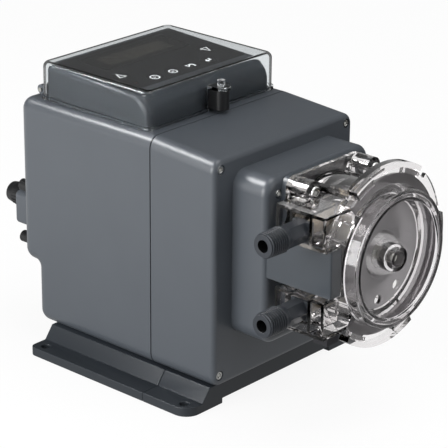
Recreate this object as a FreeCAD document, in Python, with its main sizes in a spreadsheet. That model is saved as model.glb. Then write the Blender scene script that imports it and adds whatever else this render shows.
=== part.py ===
import FreeCAD, Part
import math
import os

import Sketcher

# Peristaltic dosing pump: a grey two-part drive housing on a sliding foot, a keypad under a
# hinged clear cover on top, and a smoky clear pump head with its rotor on the front.
# Millimetres, +Z up. The origin is the centre of the four bolt holes, on the foot's underside.
# The pump head points along -Y, so a place in front of the origin is given as its reach.

DRIVING = {
    # Foot
    "foot_hole_span_x": 180,
    "foot_hole_span_y": 142,
    "foot_hole_radius": 3.5,
    "foot_length": 162,
    "foot_width": 195,
    "foot_plate": 7.2,
    "foot_height": 17.2,
    "foot_web_low_width": 163,
    "foot_web_top_width": 148,
    "foot_corner": 12,
    "foot_rear_corner": 5,
    "foot_front_length": 44,
    "foot_hollow_width": 120,
    "foot_hollow_depth": 4,
    "foot_screw_x": 48,
    "foot_screw_y": 62,
    "foot_screw_radius": 2.5,
    "foot_screw_head_radius": 4.5,
    "foot_screw_head_height": 3,
    # Drive housing
    "housing_width": 150,
    "housing_height": 175.4,
    "front_drop": 4,
    "front_reach": 85,
    "seam_reach": 24,
    "rear_reach": 95.6,
    "bulge_reach": 110.5,
    "bulge_low": 45.8,
    "bulge_high": 47.3,
    "profile_round": 9.5,
    "bulge_inner_round": 3,
    "edge_round": 9,
    "face_round": 4,
    "wall": 3,
    "gasket_thickness": 1,
    "gasket_inset": 1,
    "corner_screw_inset": 7.1,
    "corner_screw_low": 8.5,
    "corner_screw_radius": 2,
    "corner_screw_length": 76,
    "corner_head_radius": 3.6,
    "corner_head_height": 2.4,
    "corner_recess": 3,
    "corner_post_radius": 5.6,
    "corner_post_length": 24,
    # Boss for the gear stage
    "boss_width": 112.4,
    "boss_bottom": 36.4,
    "boss_top": 160.4,
    "boss_depth": 31,
    "boss_corner": 12,
    "boss_edge_round": 5,
    "boss_wall": 4,
    "boss_screw_x": 43,
    "boss_screw_inset": 12.2,
    "boss_screw_radius": 2,
    "boss_screw_length": 30,
    "boss_head_radius": 3.4,
    "boss_head_height": 2,
    "boss_post_radius": 5,
    # Gear stage and motor
    "axis_height": 107.1,
    "gear_module": 1.25,
    "gear_teeth": 60,
    "pinion_teeth": 12,
    "gear_width": 9,
    "gear_reach": 93,
    "gear_plate_thickness": 3,
    "gear_plate_reach": 85,
    "gear_plate_margin": 1,
    "bearing_radius": 11,
    "bearing_width": 6,
    "bearing_race": 2,
    "bearing_cup_wall": 3,
    "shaft_radius": 6,
    "shaft_nose_radius": 4,
    "running_gap": 0.05,
    "motor_radius": 21,
    "motor_length": 70,
    "motor_shaft_radius": 2.5,
    "motor_boss_radius": 8,
    "motor_boss_length": 2,
    "seal_radius": 10,
    # Pump head
    "head_plate": 4,
    "cavity_radius": 43,
    "track_wall": 5,
    "flange_reach": 170,
    "flange_thickness": 3,
    "flange_radius": 62.5,
    "hook_radius": 66.5,
    "hook_reach": 178,
    "hook_lip": 2,
    "hook_span": 66,
    "lobe_middle": 29.5,
    "lobe_span": 29,
    "hook_middle": 90,
    "lower_hook_middle": -95,
    "lug_span": 17,
    "lug_gap": 0.6,
    "head_screw_x": 33,
    "head_screw_z": 45.5,
    "head_post_radius": 7.8,
    "head_post_length": 18,
    "head_screw_radius": 2.5,
    "head_screw_head_radius": 4.5,
    "head_screw_head_height": 3,
    "head_screw_length": 32,
    "rib_thickness": 3,
    "rib_height": 7,
    "rib_angle": 27,
    "port_spacing": 57.8,
    "port_reach": 151,
    "pocket_face": 61,
    "pocket_near": 129,
    "pocket_far": 172.6,
    "pocket_wall": 2.5,
    "pocket_depth": 29,
    "upper_pocket_low": 17.6,
    "upper_pocket_high": 43,
    "lower_pocket_low": -46.6,
    "lower_pocket_high": -18.2,
    "block_face": 55,
    "block_thickness": 11,
    "block_low": -17.6,
    "block_high": 17,
    "block_chamfer": 1.5,
    "rest_pad_size": 12,
    "rest_pad_height": 5.4,
    "rest_pad_inset": 4.4,
    # Fittings and tube
    "fitting_end": 100,
    "thread_length": 21,
    "thread_radius": 8.5,
    "thread_tip_radius": 8,
    "neck_across_flats": 14.4,
    "neck_length": 17.6,
    "fitting_flange": 14.4,
    "chamber_play": 0.2,
    "fitting_flange_thickness": 4,
    "stem_radius": 3.2,
    "stem_length": 12,
    "port_bore_radius": 4.4,
    "port_bore_length": 16,
    "stem_bore_radius": 2.2,
    "tube_outer_radius": 4.75,
    "tube_loop_radius": 38,
    "tube_bend_radius": 40,
    "tube_clearance": 0.4,
    # Rotor
    "rotor_plate_radius": 27,
    "rotor_plate_thickness": 3,
    "rotor_near": 127,
    "rotor_far": 167,
    "rotor_hub_radius": 11.5,
    "roller_radius": 10,
    "roller_circle": 22.5,
    "roller_end_gap": 0.6,
    "roller_pin_radius": 2.5,
    "roller_count": 3,
    "rotor_angle": 17,
    "rotor_nut_radius": 8,
    "rotor_nut_thickness": 3,
    # Round head cover
    "cover_front_reach": 189.6,
    "cover_wall": 2.5,
    "cover_rim_radius": 49.3,
    "cover_rim_width": 6.8,
    "cover_floor_reach": 173.2,
    "cover_draft": 1.5,
    "cover_fit_gap": 0.7,
    "cover_flange_radius": 58,
    "cover_flange_thickness": 2.4,
    "cover_flange_gap": 0.3,
    "cover_notch_span": 100,
    "cover_notch_depth": 6.7,
    "hub_base_radius": 17,
    "hub_tip_radius": 8.5,
    "hub_window_radius": 5.5,
    "nose_bearing_radius": 7,
    "nose_bearing_width": 6,
    "nose_bearing_near": 175,
    "shaft_end_reach": 184,
    "floor_hole_radius": 3.6,
    "floor_hole_circle": 34,
    "grip_radius": 66,
    "grip_thickness": 3.6,
    "grip_span": 66,
    "grip_middle": -21,
    # Control pod
    "pod_width": 129,
    "pod_front_reach": 12.8,
    "pod_rear_reach": 90.9,
    "pod_back_height": 26.4,
    "pod_front_height": 22,
    "pod_nose": 15,
    "pod_edge_round": 5,
    "pod_wall": 2.5,
    "overlay_width": 120,
    "overlay_length": 79,
    "overlay_thickness": 0.8,
    "overlay_start": 18.3,
    "overlay_corner": 3,
    "display_width": 89,
    "display_length": 31,
    "display_middle": 75.8,
    "display_thickness": 1.6,
    "display_module_depth": 7,
    "display_module_margin": 2.5,
    "key_radius": 6,
    "key_gap": 0.35,
    "key_height": 4,
    "key_flange": 1.2,
    "key_flange_thickness": 1,
    "key_travel": 0.5,
    "key_pitch": 19,
    "key_row": 28.2,
    "arrow_key_x": 45.5,
    "arrow_key_row": 46.2,
    "lamp_radius": 1.5,
    "lamp_x": 47.4,
    "lamp_row": 29.2,
    "board_thickness": 1.6,
    "board_gap": 0.4,
    # Hinged clear cover
    "lid_gap": 0.8,
    "lid_play": 1.5,
    "lid_headroom": 0.6,
    "lid_wall": 2,
    "lid_corner": 7,
    "lid_edge_round": 4.5,
    "lid_rim": 1.4,
    "lid_rim_height": 2,
    "hinge_height": 4.2,
    "hinge_gap": 0.6,
    "hinge_pin_radius": 1.6,
    "hinge_barrel_radius": 3.6,
    "hinge_barrel_outer": 56,
    "hinge_barrel_length": 22,
    "hinge_side_gap": 0.5,
    "hinge_ear_thickness": 5,
    "latch_width": 12,
    "latch_depth": 13.1,
    "latch_low": 2.8,
    "latch_height": 14.7,
    "latch_pin_radius": 1.5,
    "latch_play": 0.7,
    "latch_lip": 2,
    "latch_bar_reach": 3.1,
    "latch_bar_width": 1.4,
    "latch_bar_height": 1.8,
    "latch_knob_radius": 3,
    "latch_knob_height": 4.5,
    "tongue_gap": 0.3,
    "tongue_thickness": 2.5,
    "tongue_margin": 1.2,
    # Rear connections and electronics
    "terminal_width": 46,
    "terminal_height": 26.5,
    "terminal_depth": 27.5,
    "terminal_x": -33,
    "terminal_z": 75.1,
    "terminal_corner": 4,
    "gland_radius": 7.5,
    "gland_length": 14,
    "gland_nut_radius": 8.8,
    "gland_nut_thickness": 6,
    "gland_bore_radius": 4,
    "gland_x": -39,
    "gland_z": 78.3,
    "signal_x": -55,
    "signal_upper_z": 95.5,
    "signal_lower_z": 53.2,
    "signal_radius": 5.6,
    "signal_length": 19.5,
    "signal_seat": 6,
    "signal_bore_radius": 2.2,
    "main_board_width": 118,
    "main_board_height": 120,
    "main_board_reach": 78,
    "main_board_low": 22,
    "main_board_post": 3,
    "transformer_width": 44,
    "transformer_height": 36,
    "transformer_depth": 30,
}

ACROSS = "YZ_Plane"
FRONT = "XZ_Plane"
PLAN = "XY_Plane"


class Size:
    """A length held twice: as a formula on the sheet and as its value in millimetres."""

    def __init__(self, formula, value):
        self.formula = formula
        self.value = float(value)

    def joined(self, sign, other, value):
        return Size("({} {} {})".format(self.formula, sign, sized(other).formula), value)

    def __add__(self, other):
        return self.joined("+", other, self.value + sized(other).value)

    def __sub__(self, other):
        return self.joined("-", other, self.value - sized(other).value)

    def __mul__(self, other):
        return self.joined("*", other, self.value * sized(other).value)

    def __truediv__(self, other):
        return self.joined("/", other, self.value / sized(other).value)

    def __neg__(self):
        return sized(0) - self

    def __radd__(self, other):
        return sized(other) + self

    def __rsub__(self, other):
        return sized(other) - self

    def __rmul__(self, other):
        return sized(other) * self


def sized(amount):
    """Any number as a Size."""
    if isinstance(amount, Size):
        return amount
    return Size("{:.6f}".format(amount), amount)


def called(function, angle):
    """A sine, cosine or tangent of an angle in degrees, as a Size."""
    value = getattr(math, function)(math.radians(sized(angle).value))
    return Size("{}({} * 1 deg)".format(function, sized(angle).formula), value)


def root(area):
    """The square root of an area, as a Size."""
    return Size("sqrt({})".format(area.formula), math.sqrt(area.value))


def slope(rise, run):
    """The angle of a slope in degrees, as a Size."""
    value = math.degrees(math.atan2(sized(rise).value, sized(run).value))
    return Size("(atan({} / {}) / 1 deg)".format(sized(rise).formula, sized(run).formula), value)


doc = FreeCAD.newDocument("dosing_pump")
sheet = doc.addObject("Spreadsheet::Sheet", "Sizes")
for row, (name, value) in enumerate(DRIVING.items(), start=1):
    sheet.set("A{}".format(row), name)
    sheet.set("B{}".format(row), str(value))
    sheet.setAlias("B{}".format(row), name)
doc.recompute()


class Driving:
    """The sheet's cells, each read as a Size by its name."""

    def __getattr__(self, name):
        return Size("Sizes." + name, DRIVING[name])


D = Driving()
finished = []


def bind(item, target, size):
    """Ties a property of an object to the sheet."""
    item.setExpression(target, sized(size).formula)


def new_body(label, height=0):
    """A sub-part's body, standing at a height above the foot's underside."""
    body = doc.addObject("PartDesign::Body", label)
    body.Label = label
    body.AllowCompound = True
    bind(body, "Placement.Base.z", height)
    finished.append(body)
    return body


def new_sketch(body, role, level=0, across=0, up=0, tilt=0):
    """A sketch on one of the body's own origin planes, moved along it and off it.

    It may be tilted about its own X axis, by an angle that isn't negative.
    """
    sketch = body.newObject("Sketcher::SketchObject", "Sketch")
    plane = next(item for item in body.Origin.OriginFeatures if item.Role == role)
    sketch.AttachmentSupport = [(plane, "")]
    sketch.MapMode = "FlatFace"
    base = FreeCAD.Vector(sized(across).value, sized(up).value, sized(level).value)
    tilting = FreeCAD.Rotation(FreeCAD.Vector(1, 0, 0), sized(tilt).value)
    sketch.AttachmentOffset = FreeCAD.Placement(base, tilting)
    bind(sketch, "AttachmentOffset.Base.x", across)
    bind(sketch, "AttachmentOffset.Base.y", up)
    bind(sketch, "AttachmentOffset.Base.z", level)
    if isinstance(tilt, Size):
        bind(sketch, "AttachmentOffset.Rotation.Angle", tilt)
    return sketch


def set_value(sketch, constraint, size):
    """Adds a constraint with a value and ties it to the sheet."""
    index = sketch.addConstraint(constraint)
    bind(sketch, "Constraints[{}]".format(index), size)


def pin_point(sketch, item, end, x, y):
    """Fixes a point of a sketch by its distances from the sketch's origin."""
    set_value(sketch, Sketcher.Constraint("DistanceX", -1, 1, item, end, sized(x).value), x)
    set_value(sketch, Sketcher.Constraint("DistanceY", -1, 1, item, end, sized(y).value), y)


def point(x, y):
    return FreeCAD.Vector(sized(x).value, sized(y).value, 0)


def draw_outline(sketch, corners):
    """A closed outline of straight sides."""
    sides = []
    for start, end in zip(corners, corners[1:] + corners[:1]):
        sides.append(sketch.addGeometry(Part.LineSegment(point(*start), point(*end)), False))
    for side, following in zip(sides, sides[1:] + sides[:1]):
        sketch.addConstraint(Sketcher.Constraint("Coincident", side, 2, following, 1))
    for side, corner in zip(sides, corners):
        pin_point(sketch, side, 1, *corner)


def draw_rectangle(sketch, left, right, low, high):
    """A rectangle between two verticals and two horizontals."""
    draw_outline(sketch, [(left, low), (right, low), (right, high), (left, high)])


def draw_rounded_rectangle(sketch, left, right, low, high, radius):
    """A rectangle with four equal round corners."""
    x0, x1 = sized(left).value, sized(right).value
    y0, y1 = sized(low).value, sized(high).value
    r = sized(radius).value
    sides = [
        ((x0 + r, y0), (x1 - r, y0)),
        ((x1, y0 + r), (x1, y1 - r)),
        ((x1 - r, y1), (x0 + r, y1)),
        ((x0, y1 - r), (x0, y0 + r)),
    ]
    centres = [(x1 - r, y0 + r), (x1 - r, y1 - r), (x0 + r, y1 - r), (x0 + r, y0 + r)]
    lines = []
    arcs = []
    for number, (start, end) in enumerate(sides):
        lines.append(sketch.addGeometry(Part.LineSegment(point(*start), point(*end)), False))
        circle = Part.Circle(point(*centres[number]), FreeCAD.Vector(0, 0, 1), r)
        first = math.radians(90 * (number - 1))
        arc = Part.ArcOfCircle(circle, first, first + math.radians(90))
        arcs.append(sketch.addGeometry(arc, False))
    for number in range(4):
        following = lines[(number + 1) % 4]
        sketch.addConstraint(Sketcher.Constraint("Tangent", lines[number], 2, arcs[number], 1))
        sketch.addConstraint(Sketcher.Constraint("Tangent", arcs[number], 2, following, 1))
    for number, kind in enumerate(["Horizontal", "Vertical", "Horizontal", "Vertical"]):
        sketch.addConstraint(Sketcher.Constraint(kind, lines[number]))
    for arc in arcs[1:]:
        sketch.addConstraint(Sketcher.Constraint("Equal", arcs[0], arc))
    set_value(sketch, Sketcher.Constraint("Radius", arcs[0], r), radius)
    set_value(sketch, Sketcher.Constraint("DistanceY", -1, 1, lines[0], 1, y0), low)
    set_value(sketch, Sketcher.Constraint("DistanceX", -1, 1, lines[1], 1, x1), right)
    set_value(sketch, Sketcher.Constraint("DistanceY", -1, 1, lines[2], 1, y1), high)
    set_value(sketch, Sketcher.Constraint("DistanceX", -1, 1, lines[3], 1, x0), left)


def draw_circles(sketch, radius, centres):
    """Equal circles about given centres."""
    for centre in centres:
        circle = Part.Circle(point(*centre), FreeCAD.Vector(0, 0, 1), sized(radius).value)
        item = sketch.addGeometry(circle, False)
        set_value(sketch, Sketcher.Constraint("Radius", item, sized(radius).value), radius)
        pin_point(sketch, item, 3, *centre)


def hexagon(across_flats):
    """The corners of a hexagon with flats above and below."""
    reach = across_flats / called("cos", 30) / 2
    return [(reach * called("cos", 60 * turn), reach * called("sin", 60 * turn)) for turn in range(6)]


def mirrored(x, *heights):
    """Places on both sides of the middle plane, at each height."""
    return [(side * x, height) for height in heights for side in (-1, 1)]


def pad(body, sketch, length, both_ways=False):
    """Adds material from the sketch's plane along its normal."""
    feature = body.newObject("PartDesign::Pad", "Pad")
    feature.Profile = sketch
    feature.Midplane = both_ways
    bind(feature, "Length", length)
    body.Tip = feature
    return feature


def pocket(body, sketch, length, both_ways=False):
    """Removes material from the sketch's plane along its normal."""
    feature = body.newObject("PartDesign::Pocket", "Pocket")
    feature.Profile = sketch
    feature.Midplane = both_ways
    feature.Reversed = not both_ways
    bind(feature, "Length", length)
    body.Tip = feature
    return feature


def turn(body, sketch, axis="H_Axis", cut=False, span=360):
    """Adds or removes what a profile sweeps about an axis of its sketch."""
    feature = body.newObject("PartDesign::Groove" if cut else "PartDesign::Revolution", "Turned")
    feature.Profile = sketch
    feature.ReferenceAxis = (sketch, [axis])
    feature.Midplane = True
    bind(feature, "Angle", span)
    body.Tip = feature
    return feature


def add_discs(body, level, length, radius, centres=((0, 0),), role=FRONT):
    sketch = new_sketch(body, role, level)
    draw_circles(sketch, radius, list(centres))
    return pad(body, sketch, length)


def cut_discs(body, level, length, radius, centres=((0, 0),), role=FRONT):
    sketch = new_sketch(body, role, level)
    draw_circles(sketch, radius, list(centres))
    return pocket(body, sketch, length)


def add_block(body, level, length, left, right, low, high, role=FRONT, corner=None):
    sketch = new_sketch(body, role, level)
    if corner is None:
        draw_rectangle(sketch, left, right, low, high)
    else:
        draw_rounded_rectangle(sketch, left, right, low, high, corner)
    return pad(body, sketch, length)


def cut_block(body, level, length, left, right, low, high, role=FRONT, corner=None):
    sketch = new_sketch(body, role, level)
    if corner is None:
        draw_rectangle(sketch, left, right, low, high)
    else:
        draw_rounded_rectangle(sketch, left, right, low, high, corner)
    return pocket(body, sketch, length)


def lathe(body, profile, cut=False):
    """A turned form about the Y axis, from (reach, radius) corners."""
    sketch = new_sketch(body, ACROSS)
    draw_outline(sketch, [(-sized(reach), radius) for reach, radius in profile])
    return turn(body, sketch, cut=cut)


def ring(body, near, far, inner, outer, cut=False):
    """A plain ring about the Y axis."""
    return lathe(body, [(near, inner), (far, inner), (far, outer), (near, outer)], cut=cut)


def arc_band(body, near, far, inner, outer, middle, span, cut=False):
    """A stretch of ring about the Y axis: its middle angle is counted up from +X."""
    sketch = new_sketch(body, ACROSS, tilt=450 - sized(middle))
    draw_rectangle(sketch, -sized(far), -sized(near), inner, outer)
    return turn(body, sketch, cut=cut, span=span)


def edge_names(feature, wanted):
    """The names of a feature's edges whose middle point and direction pass a test."""
    doc.recompute()
    names = []
    for number, edge in enumerate(feature.Shape.Edges, start=1):
        middle = edge.valueAt((edge.FirstParameter + edge.LastParameter) / 2)
        chord = edge.Vertexes[-1].Point - edge.Vertexes[0].Point
        if wanted(middle, chord, edge):
            names.append("Edge{}".format(number))
    return names


def round_edges(body, radius, wanted, kind="PartDesign::Fillet"):
    """Rounds or chamfers the edges that pass a test."""
    base = body.Tip
    names = edge_names(base, wanted)
    if not names:
        raise ValueError("no edges to round on " + body.Label)
    feature = body.newObject(kind, "Edges")
    feature.Base = (base, names)
    bind(feature, "Radius" if kind.endswith("Fillet") else "Size", radius)
    body.Tip = feature
    return feature


def near(a, b):
    return abs(a - sized(b).value) < 0.01


def along(chord, axis):
    """True for a straight run along one axis."""
    return chord.Length > 0.1 and abs(abs(getattr(chord, axis)) - chord.Length) < 0.01


def shell(body, wall, open_face):
    """Hollows a solid to a wall, open at the faces whose centre passes a test."""
    base = body.Tip
    doc.recompute()
    faces = enumerate(base.Shape.Faces, start=1)
    names = ["Face{}".format(number) for number, face in faces if open_face(face.CenterOfMass)]
    feature = body.newObject("PartDesign::Thickness", "Shell")
    feature.Base = (base, names)
    feature.Reversed = True
    bind(feature, "Value", wall)
    body.Tip = feature


# Levels and places that several pieces share
HOUSING_TOP = D.foot_height + D.housing_height
AXIS = D.foot_height + D.axis_height
HALF_WIDTH = D.housing_width / 2
FRONT_TOP = D.housing_height - D.front_drop
SEAM_FRONT = D.seam_reach + D.gasket_thickness / 2
SEAM_REAR = D.seam_reach - D.gasket_thickness / 2
BOSS_FACE = D.front_reach + D.boss_depth
BOSS_BACK = BOSS_FACE - D.boss_wall
BOSS_SIDE = D.boss_width / 2
CORNER_X = HALF_WIDTH - D.corner_screw_inset
CORNER_SCREWS = mirrored(CORNER_X, D.corner_screw_low, FRONT_TOP - D.corner_screw_inset)
CORNER_SEAT = D.front_reach - D.corner_recess
BOSS_SCREWS = mirrored(
    D.boss_screw_x, D.boss_bottom + D.boss_screw_inset, D.boss_top - D.boss_screw_inset)
BOSS_SEAT = BOSS_FACE - D.boss_head_height
HEAD_SCREWS = mirrored(D.head_screw_x, -D.head_screw_z, D.head_screw_z)
HEAD_SCREWS_IN_HOUSING = mirrored(
    D.head_screw_x, D.axis_height - D.head_screw_z, D.axis_height + D.head_screw_z)
FOOT_SCREWS = mirrored(D.foot_screw_x, -D.foot_screw_y, D.foot_screw_y)
FOOT_HOLES = mirrored(D.foot_hole_span_x / 2, -D.foot_hole_span_y / 2, D.foot_hole_span_y / 2)
GEAR_RADIUS = D.gear_module * D.gear_teeth / 2
PINION_RADIUS = D.gear_module * D.pinion_teeth / 2
GEAR_CENTRES = GEAR_RADIUS + PINION_RADIUS
MOTOR_AXIS = AXIS - GEAR_CENTRES
PLATE_FACE = D.gear_plate_reach + D.gear_plate_thickness
BEARING_BORE = D.shaft_radius + D.running_gap
HEAD_FACE = BOSS_FACE + D.head_plate
FLANGE_FACE = D.flange_reach + D.flange_thickness
COVER_BACK = FLANGE_FACE + D.cover_flange_gap
LID_STEP = D.lid_play + D.lid_wall
LID_SIDE = D.pod_width / 2 + LID_STEP
LID_FRONT = D.pod_front_reach + LID_STEP
LID_REAR = D.pod_rear_reach + LID_STEP
LID_TOP = D.pod_back_height + D.lid_headroom + D.lid_wall
HINGE_REACH = LID_REAR + D.lid_rim + D.hinge_barrel_radius + D.hinge_gap
BARREL_INNER = D.hinge_barrel_outer - D.hinge_barrel_length
EAR_START = D.hinge_barrel_outer + D.hinge_side_gap
LATCH_TOP = D.latch_low + D.latch_height
TONGUE_LOW = LATCH_TOP + D.tongue_gap
LATCH_FRONT = LID_FRONT + D.latch_depth
LATCH_MIDDLE = LATCH_FRONT - D.latch_width / 2
PANEL_SLOPE = slope(D.pod_back_height - D.pod_front_height, D.pod_front_reach + D.pod_rear_reach)
PORTS = {"suction": D.port_spacing / -2, "discharge": D.port_spacing / 2}
KEYS = {
    "key_down": (-D.arrow_key_x, D.arrow_key_row),
    "key_up": (D.arrow_key_x, D.arrow_key_row),
    "key_start": (-1.5 * D.key_pitch, D.key_row),
    "key_stop": (-0.5 * D.key_pitch, D.key_row),
    "key_back": (0.5 * D.key_pitch, D.key_row),
    "key_enter": (1.5 * D.key_pitch, D.key_row),
}
HOOKS = [D.hook_middle, D.lower_hook_middle]
LUG_OFFSET = (D.hook_span - D.lug_span) / 2


def foot_outline(sketch):
    """The dovetail section of the foot, with its flange along both sides."""
    corners = [
        (D.foot_width / 2, 0),
        (D.foot_width / 2, D.foot_plate),
        (D.foot_web_low_width / 2, D.foot_plate),
        (D.foot_web_top_width / 2, D.foot_height),
    ]
    left = [(-x, z) for x, z in reversed(corners)]
    draw_outline(sketch, corners + left)


def foot_piece(label, near_reach, length, end_reach, corner):
    """One length of the foot, with two of the bolt holes and two screw holes."""
    body = new_body(label)
    section = new_sketch(body, FRONT, near_reach)
    foot_outline(section)
    pad(body, section, length)
    round_edges(
        body, corner,
        lambda m, c, e: along(c, "z") and near(abs(m.x), D.foot_width / 2) and near(m.y, -end_reach))
    side = 1 if sized(end_reach).value < 0 else -1
    hollow = D.foot_hollow_width / 2
    cut_block(body, near_reach, length, -hollow, hollow, 0, D.foot_hollow_depth)
    bolts = [(x, y) for x, y in FOOT_HOLES if y.value * side > 0]
    cut_discs(body, 0, D.foot_plate, D.foot_hole_radius, bolts, PLAN)
    screws = [(x, y) for x, y in FOOT_SCREWS if y.value * side > 0]
    cut_discs(body, 0, D.foot_height, D.foot_screw_radius, screws, PLAN)


def foot_screws():
    body = new_body("foot_screws")
    head_top = D.foot_hollow_depth
    head_low = head_top - D.foot_screw_head_height
    add_discs(body, head_low, D.foot_screw_head_height, D.foot_screw_head_radius, FOOT_SCREWS, PLAN)
    shank = D.foot_height - head_top + D.wall
    add_discs(body, head_top, shank, D.foot_screw_radius, FOOT_SCREWS, PLAN)


def hinge_place(body, level, length, radius, cut=False):
    """A disc about the cover's hinge line."""
    centre = [(HINGE_REACH, D.hinge_height)]
    if cut:
        return cut_discs(body, level, length, radius, centre, ACROSS)
    return add_discs(body, level, length, radius, centre, ACROSS)


def rear_housing():
    body = new_body("rear_housing", D.foot_height)
    top = D.housing_height
    profile = new_sketch(body, ACROSS)
    draw_outline(profile, [
        (-SEAM_REAR, 0), (D.rear_reach, 0), (D.rear_reach, D.bulge_low),
        (D.bulge_reach, D.bulge_high), (D.bulge_reach, top), (-SEAM_REAR, top)])
    pad(body, profile, D.housing_width, both_ways=True)
    round_edges(body, D.bulge_inner_round, lambda m, c, e: along(c, "x") and near(m.z, D.bulge_low))
    round_edges(
        body, D.profile_round,
        lambda m, c, e: along(c, "x") and (near(m.y, D.bulge_reach) or (m.y > 0 and near(m.z, 0))))
    round_edges(
        body, D.edge_round,
        lambda m, c, e: near(abs(m.x), HALF_WIDTH) and not near(m.y, -SEAM_REAR))
    shell(body, D.wall, lambda centre: near(centre.y, -SEAM_REAR))
    post = SEAM_REAR - D.corner_post_length
    add_discs(body, post, D.corner_post_length, D.corner_post_radius, CORNER_SCREWS)
    cut_discs(body, post, D.corner_post_length, D.corner_screw_radius, CORNER_SCREWS)
    rear_screws = [(x, y) for x, y in FOOT_SCREWS if y.value > 0]
    cut_discs(body, 0, D.wall, D.foot_screw_radius, rear_screws, PLAN)
    board_back = D.main_board_reach + D.board_thickness
    for height, wall_reach in ((D.main_board_low + D.main_board_post * 2, D.rear_reach),
                               (D.main_board_low + D.main_board_height - D.main_board_post * 2,
                                D.bulge_reach)):
        places = mirrored(D.main_board_width / 2 - D.main_board_post * 2, height)
        add_discs(body, D.wall / 2 - wall_reach, wall_reach - D.wall / 2 - board_back,
                  D.main_board_post, places)
    opening = D.pod_width / 2 - D.pod_wall * 4
    cut_block(body, top - D.wall * 2, D.wall * 3, -opening, opening,
              D.pod_wall * 2 - D.pod_front_reach, D.pod_rear_reach - D.pod_wall * 4, PLAN)
    cut_discs(body, -D.bulge_reach, D.wall, D.gland_bore_radius, [(D.gland_x, D.gland_z)])
    signals = [(D.signal_x, D.signal_upper_z), (D.signal_x, D.signal_lower_z)]
    cut_discs(body, -D.bulge_reach, D.signal_seat, D.signal_radius, signals)


def hinge_brackets():
    """The two brackets that carry the cover's hinge pin."""
    body = new_body("hinge_brackets", HOUSING_TOP)
    for start in (EAR_START, -EAR_START - D.hinge_ear_thickness):
        hinge_place(body, start, D.hinge_ear_thickness, D.hinge_barrel_radius)
        add_block(body, start, D.hinge_ear_thickness, HINGE_REACH - D.hinge_barrel_radius,
                  HINGE_REACH, 0, D.hinge_height, ACROSS)
        hinge_place(body, start, D.hinge_ear_thickness, D.hinge_pin_radius, cut=True)


def front_housing():
    body = new_body("front_housing", D.foot_height)
    depth = D.front_reach - SEAM_FRONT
    profile = new_sketch(body, ACROSS)
    draw_outline(profile, [
        (-D.front_reach, 0), (-SEAM_FRONT, 0), (-SEAM_FRONT, D.housing_height),
        (-D.front_reach, FRONT_TOP)])
    pad(body, profile, D.housing_width, both_ways=True)
    round_edges(
        body, D.edge_round,
        lambda m, c, e: near(abs(m.x), HALF_WIDTH) and -D.front_reach.value < m.y - 1
        and m.y + 1 < -SEAM_FRONT.value)
    round_edges(body, D.face_round, lambda m, c, e: near(m.y, -D.front_reach))
    shell(body, D.wall, lambda centre: near(centre.y, -SEAM_FRONT))
    add_block(body, D.front_reach - D.wall / 2, D.boss_depth + D.wall / 2, -BOSS_SIDE, BOSS_SIDE,
              D.boss_bottom, D.boss_top, corner=D.boss_corner)
    round_edges(body, D.boss_edge_round, lambda m, c, e: near(m.y, -BOSS_FACE))
    inner = D.boss_corner - D.boss_wall
    cut_block(body, D.front_reach - D.wall, D.boss_depth + D.wall - D.boss_wall,
              D.boss_wall - BOSS_SIDE, BOSS_SIDE - D.boss_wall, D.boss_bottom + D.boss_wall,
              D.boss_top - D.boss_wall, corner=inner)
    add_discs(body, SEAM_FRONT, CORNER_SEAT - SEAM_FRONT, D.corner_post_radius, CORNER_SCREWS)
    cut_discs(body, SEAM_FRONT, depth, D.corner_screw_radius, CORNER_SCREWS)
    cut_discs(body, CORNER_SEAT, D.corner_recess, D.corner_head_radius, CORNER_SCREWS)
    front_screws = [(x, y) for x, y in FOOT_SCREWS if y.value < 0]
    cut_discs(body, 0, D.wall, D.foot_screw_radius, front_screws, PLAN)
    add_discs(body, PLATE_FACE, BOSS_BACK - PLATE_FACE, D.boss_post_radius, BOSS_SCREWS)
    cut_discs(body, PLATE_FACE, BOSS_FACE - PLATE_FACE, D.boss_screw_radius, BOSS_SCREWS)
    cut_discs(body, BOSS_SEAT, D.boss_head_height, D.boss_head_radius, BOSS_SCREWS)
    head_post = HEAD_FACE + D.head_post_length - D.head_screw_length
    add_discs(body, head_post, BOSS_BACK - head_post, D.boss_post_radius, HEAD_SCREWS_IN_HOUSING)
    cut_discs(body, head_post, BOSS_FACE - head_post, D.head_screw_radius, HEAD_SCREWS_IN_HOUSING)
    centre = [(0, D.axis_height)]
    cup = BOSS_BACK - D.bearing_width
    add_discs(body, cup, D.bearing_width, D.bearing_radius + D.bearing_cup_wall, centre)
    cut_discs(body, cup, D.bearing_width, D.bearing_radius, centre)
    cut_discs(body, BOSS_BACK, D.boss_wall, D.seal_radius, centre)


def housing_gasket():
    """The cord seal between the two halves of the housing."""
    body = new_body("housing_gasket", D.foot_height)
    outer = D.gasket_inset
    inner = D.wall
    add_block(body, SEAM_REAR, D.gasket_thickness, outer - HALF_WIDTH, HALF_WIDTH - outer,
              outer, D.housing_height - outer, corner=D.edge_round - outer)
    cut_block(body, SEAM_REAR, D.gasket_thickness, inner - HALF_WIDTH, HALF_WIDTH - inner,
              inner, D.housing_height - inner, corner=D.edge_round - inner)


def screw_group(label, height, seat, head_height, head_radius, length, radius, places):
    """Like screws that point to the rear, each a solid of its own, with a bevelled head."""
    body = new_body(label, height)
    add_discs(body, seat, head_height, head_radius, places)
    round_edges(body, head_height * 0.4, lambda m, c, e: near(m.y, -(seat + head_height)),
                "PartDesign::Chamfer")
    add_discs(body, seat - length, length, radius, places)


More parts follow.
